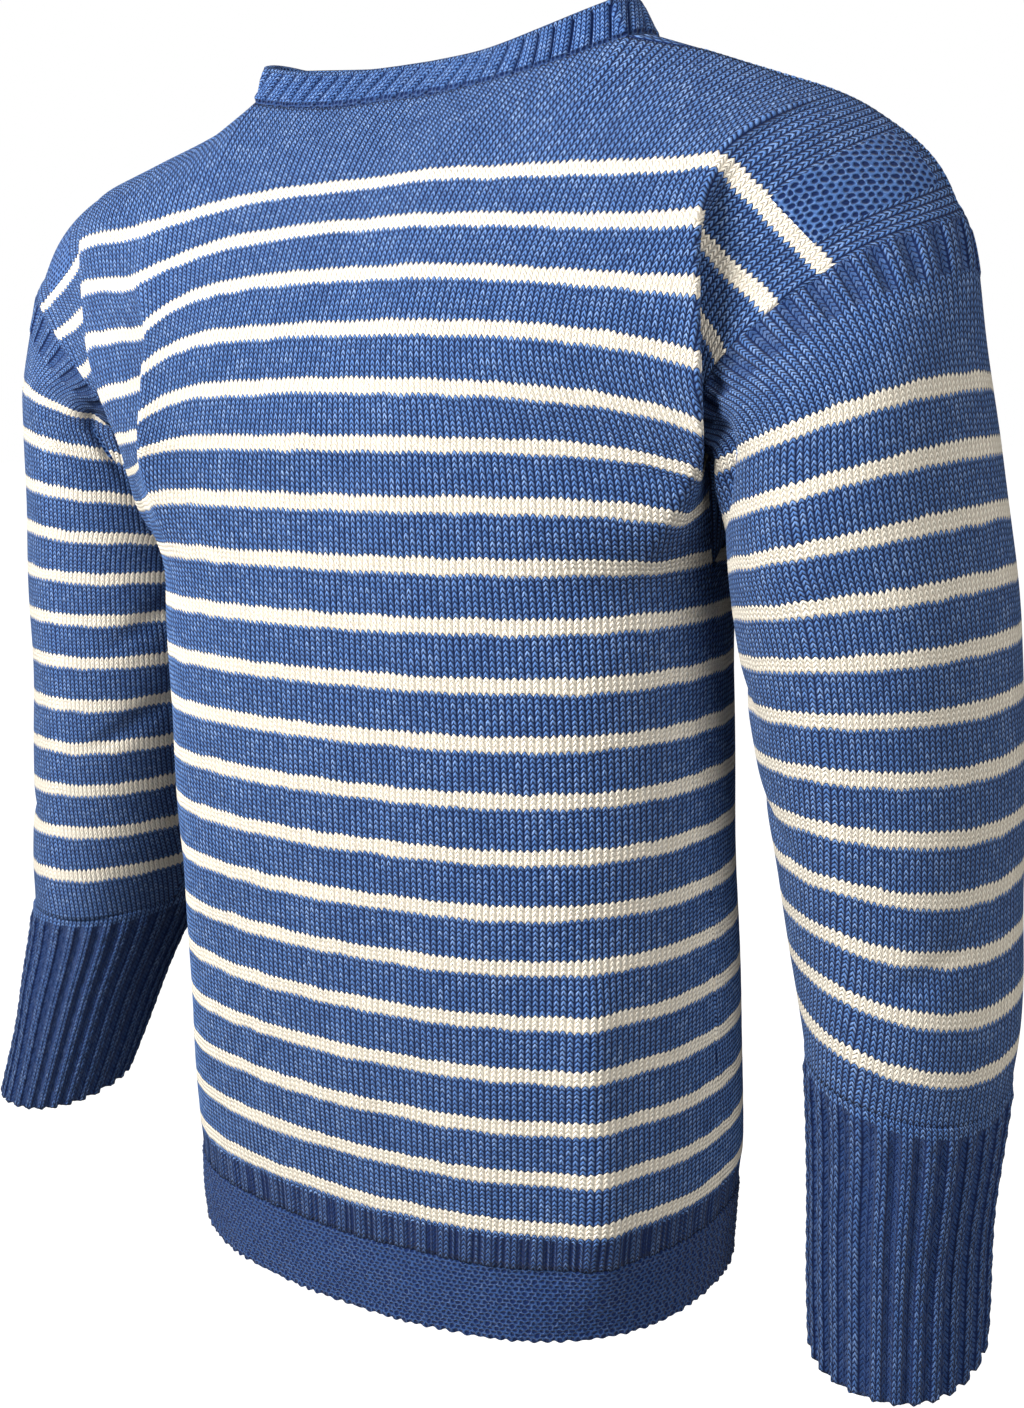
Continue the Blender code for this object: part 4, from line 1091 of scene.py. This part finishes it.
def add_floor(low):
    bpy.ops.mesh.primitive_circle_add(vertices=96, radius=FLOOR_RADIUS, fill_type="NGON",
                                      location=(0, 0, low - FLOOR_DROP))
    floor = bpy.context.object
    floor.name = "Floor"
    m = bpy.data.materials.new("Pale_floor")
    m.use_nodes = True
    g = Graph(m.node_tree)
    p = m.node_tree.nodes["Principled BSDF"]
    p.inputs["Base Color"].default_value = (FLOOR_GREY, FLOOR_GREY, FLOOR_GREY, 1.0)
    p.inputs["Roughness"].default_value = 0.9
    p.inputs["Emission Color"].default_value = (1.0, 1.0, 1.0, 1.0)
    g.feed(p.inputs["Emission Strength"], g.node("ShaderNodeLightPath").outputs["Is Camera Ray"])
    floor.data.materials.append(m)


def add_world(scene):
    world = bpy.data.worlds.new("Studio")
    scene.world = world
    world.use_nodes = True
    g = Graph(world.node_tree)
    back = world.node_tree.nodes["Background"]
    back.inputs["Color"].default_value = (1.0, 1.0, 1.0, 1.0)
    seen = g.node("ShaderNodeLightPath").outputs["Is Camera Ray"]
    g.feed(back.inputs["Strength"], g.math("MULTIPLY_ADD", seen, 1.0 - AMBIENT, AMBIENT))


def add_lamps(scene):
    for name, at, aim, size, power in LAMPS:
        data = bpy.data.lights.new(name, "AREA")
        data.shape = "DISK"
        data.size = size
        data.energy = power
        lamp = bpy.data.objects.new(name, data)
        lamp.location = at
        lamp.rotation_euler = (Vector(aim) - Vector(at)).to_track_quat("-Z", "Y").to_euler()
        scene.collection.objects.link(lamp)


def add_camera(scene):
    data = bpy.data.cameras.new("Camera")
    data.lens = CAMERA_LENS
    data.sensor_width = data.sensor_height = 36.0
    data.sensor_fit = "VERTICAL"
    data.clip_end = 100.0
    camera = bpy.data.objects.new("Camera", data)
    yaw, pitch, roll = (math.radians(a) for a in CAMERA_ANGLES)
    forward = Vector((-math.sin(yaw) * math.cos(pitch), math.cos(yaw) * math.cos(pitch), -math.sin(pitch)))
    level = Vector((math.cos(yaw), math.sin(yaw), 0))
    down = forward.cross(level)
    right = math.cos(roll) * level + math.sin(roll) * down
    below = -math.sin(roll) * level + math.cos(roll) * down
    turn = Matrix((right, -below, -forward)).transposed().to_4x4()
    camera.matrix_world = Matrix.Translation(CAMERA_PLACE) @ turn
    scene.collection.objects.link(camera)
    scene.camera = camera


class JUMPER_OT_panels(bpy.types.Operator):
    """Knit the front and the back"""
    bl_idname = "jumper.panels"
    bl_label = "Front and back"

    def execute(self, context):
        for face in ("front", "back"):
            make_panel(face)
        return {"FINISHED"}


class JUMPER_OT_welts(bpy.types.Operator):
    """Knit the two garter-stitch welts"""
    bl_idname = "jumper.welts"
    bl_label = "Welts"

    def execute(self, context):
        for face in ("front", "back"):
            make_welt(face)
        return {"FINISHED"}


class JUMPER_OT_sleeves(bpy.types.Operator):
    """Knit the two sleeves"""
    bl_idname = "jumper.sleeves"
    bl_label = "Sleeves"

    def execute(self, context):
        for hand in ("left", "right"):
            make_sleeve(hand)
        return {"FINISHED"}


class JUMPER_OT_cuffs(bpy.types.Operator):
    """Knit the two ribbed cuffs"""
    bl_idname = "jumper.cuffs"
    bl_label = "Cuffs"

    def execute(self, context):
        for hand in ("left", "right"):
            make_cuff(hand)
        return {"FINISHED"}


class JUMPER_OT_collar(bpy.types.Operator):
    """Knit the ribbed collar band"""
    bl_idname = "jumper.collar"
    bl_label = "Collar"

    def execute(self, context):
        make_collar()
        return {"FINISHED"}


class JUMPER_OT_gussets(bpy.types.Operator):
    """Knit the underarm and neck gussets"""
    bl_idname = "jumper.gussets"
    bl_label = "Gussets"

    def execute(self, context):
        make_gussets()
        return {"FINISHED"}


class JUMPER_OT_stage(bpy.types.Operator):
    """Set up the floor, the light and the camera"""
    bl_idname = "jumper.stage"
    bl_label = "Stage"

    def execute(self, context):
        scene = context.scene
        scene.view_settings.view_transform = "Standard"
        add_floor(CAD_BOX[0][2])
        add_world(scene)
        add_lamps(scene)
        add_camera(scene)
        return {"FINISHED"}


class JUMPER_PT_panel(bpy.types.Panel):
    """Lists the pieces of the jumper"""
    bl_label = "Fisherman's jumper"
    bl_idname = "JUMPER_PT_panel"
    bl_space_type = "VIEW_3D"
    bl_region_type = "UI"
    bl_category = "Jumper"

    def draw(self, context):
        column = self.layout.column()
        for key in JumperSettings.__annotations__:
            column.prop(context.scene.jumper, key)
        for operator in OPERATORS:
            column.operator(operator.bl_idname)


OPERATORS = (JUMPER_OT_panels, JUMPER_OT_welts, JUMPER_OT_sleeves, JUMPER_OT_cuffs, JUMPER_OT_collar,
             JUMPER_OT_gussets, JUMPER_OT_stage)
CLASSES = (JumperSettings,) + OPERATORS + (JUMPER_PT_panel,)


def register():
    for cls in CLASSES:
        bpy.utils.register_class(cls)
    bpy.types.Scene.jumper = PointerProperty(type=JumperSettings)


def unregister():
    del bpy.types.Scene.jumper
    for cls in reversed(CLASSES):
        bpy.utils.unregister_class(cls)


def main():
    register()
    for name in ("stage", "panels", "welts", "sleeves", "cuffs", "collar", "gussets"):
        getattr(bpy.ops.jumper, name)()


if __name__ == "__main__":
    main()
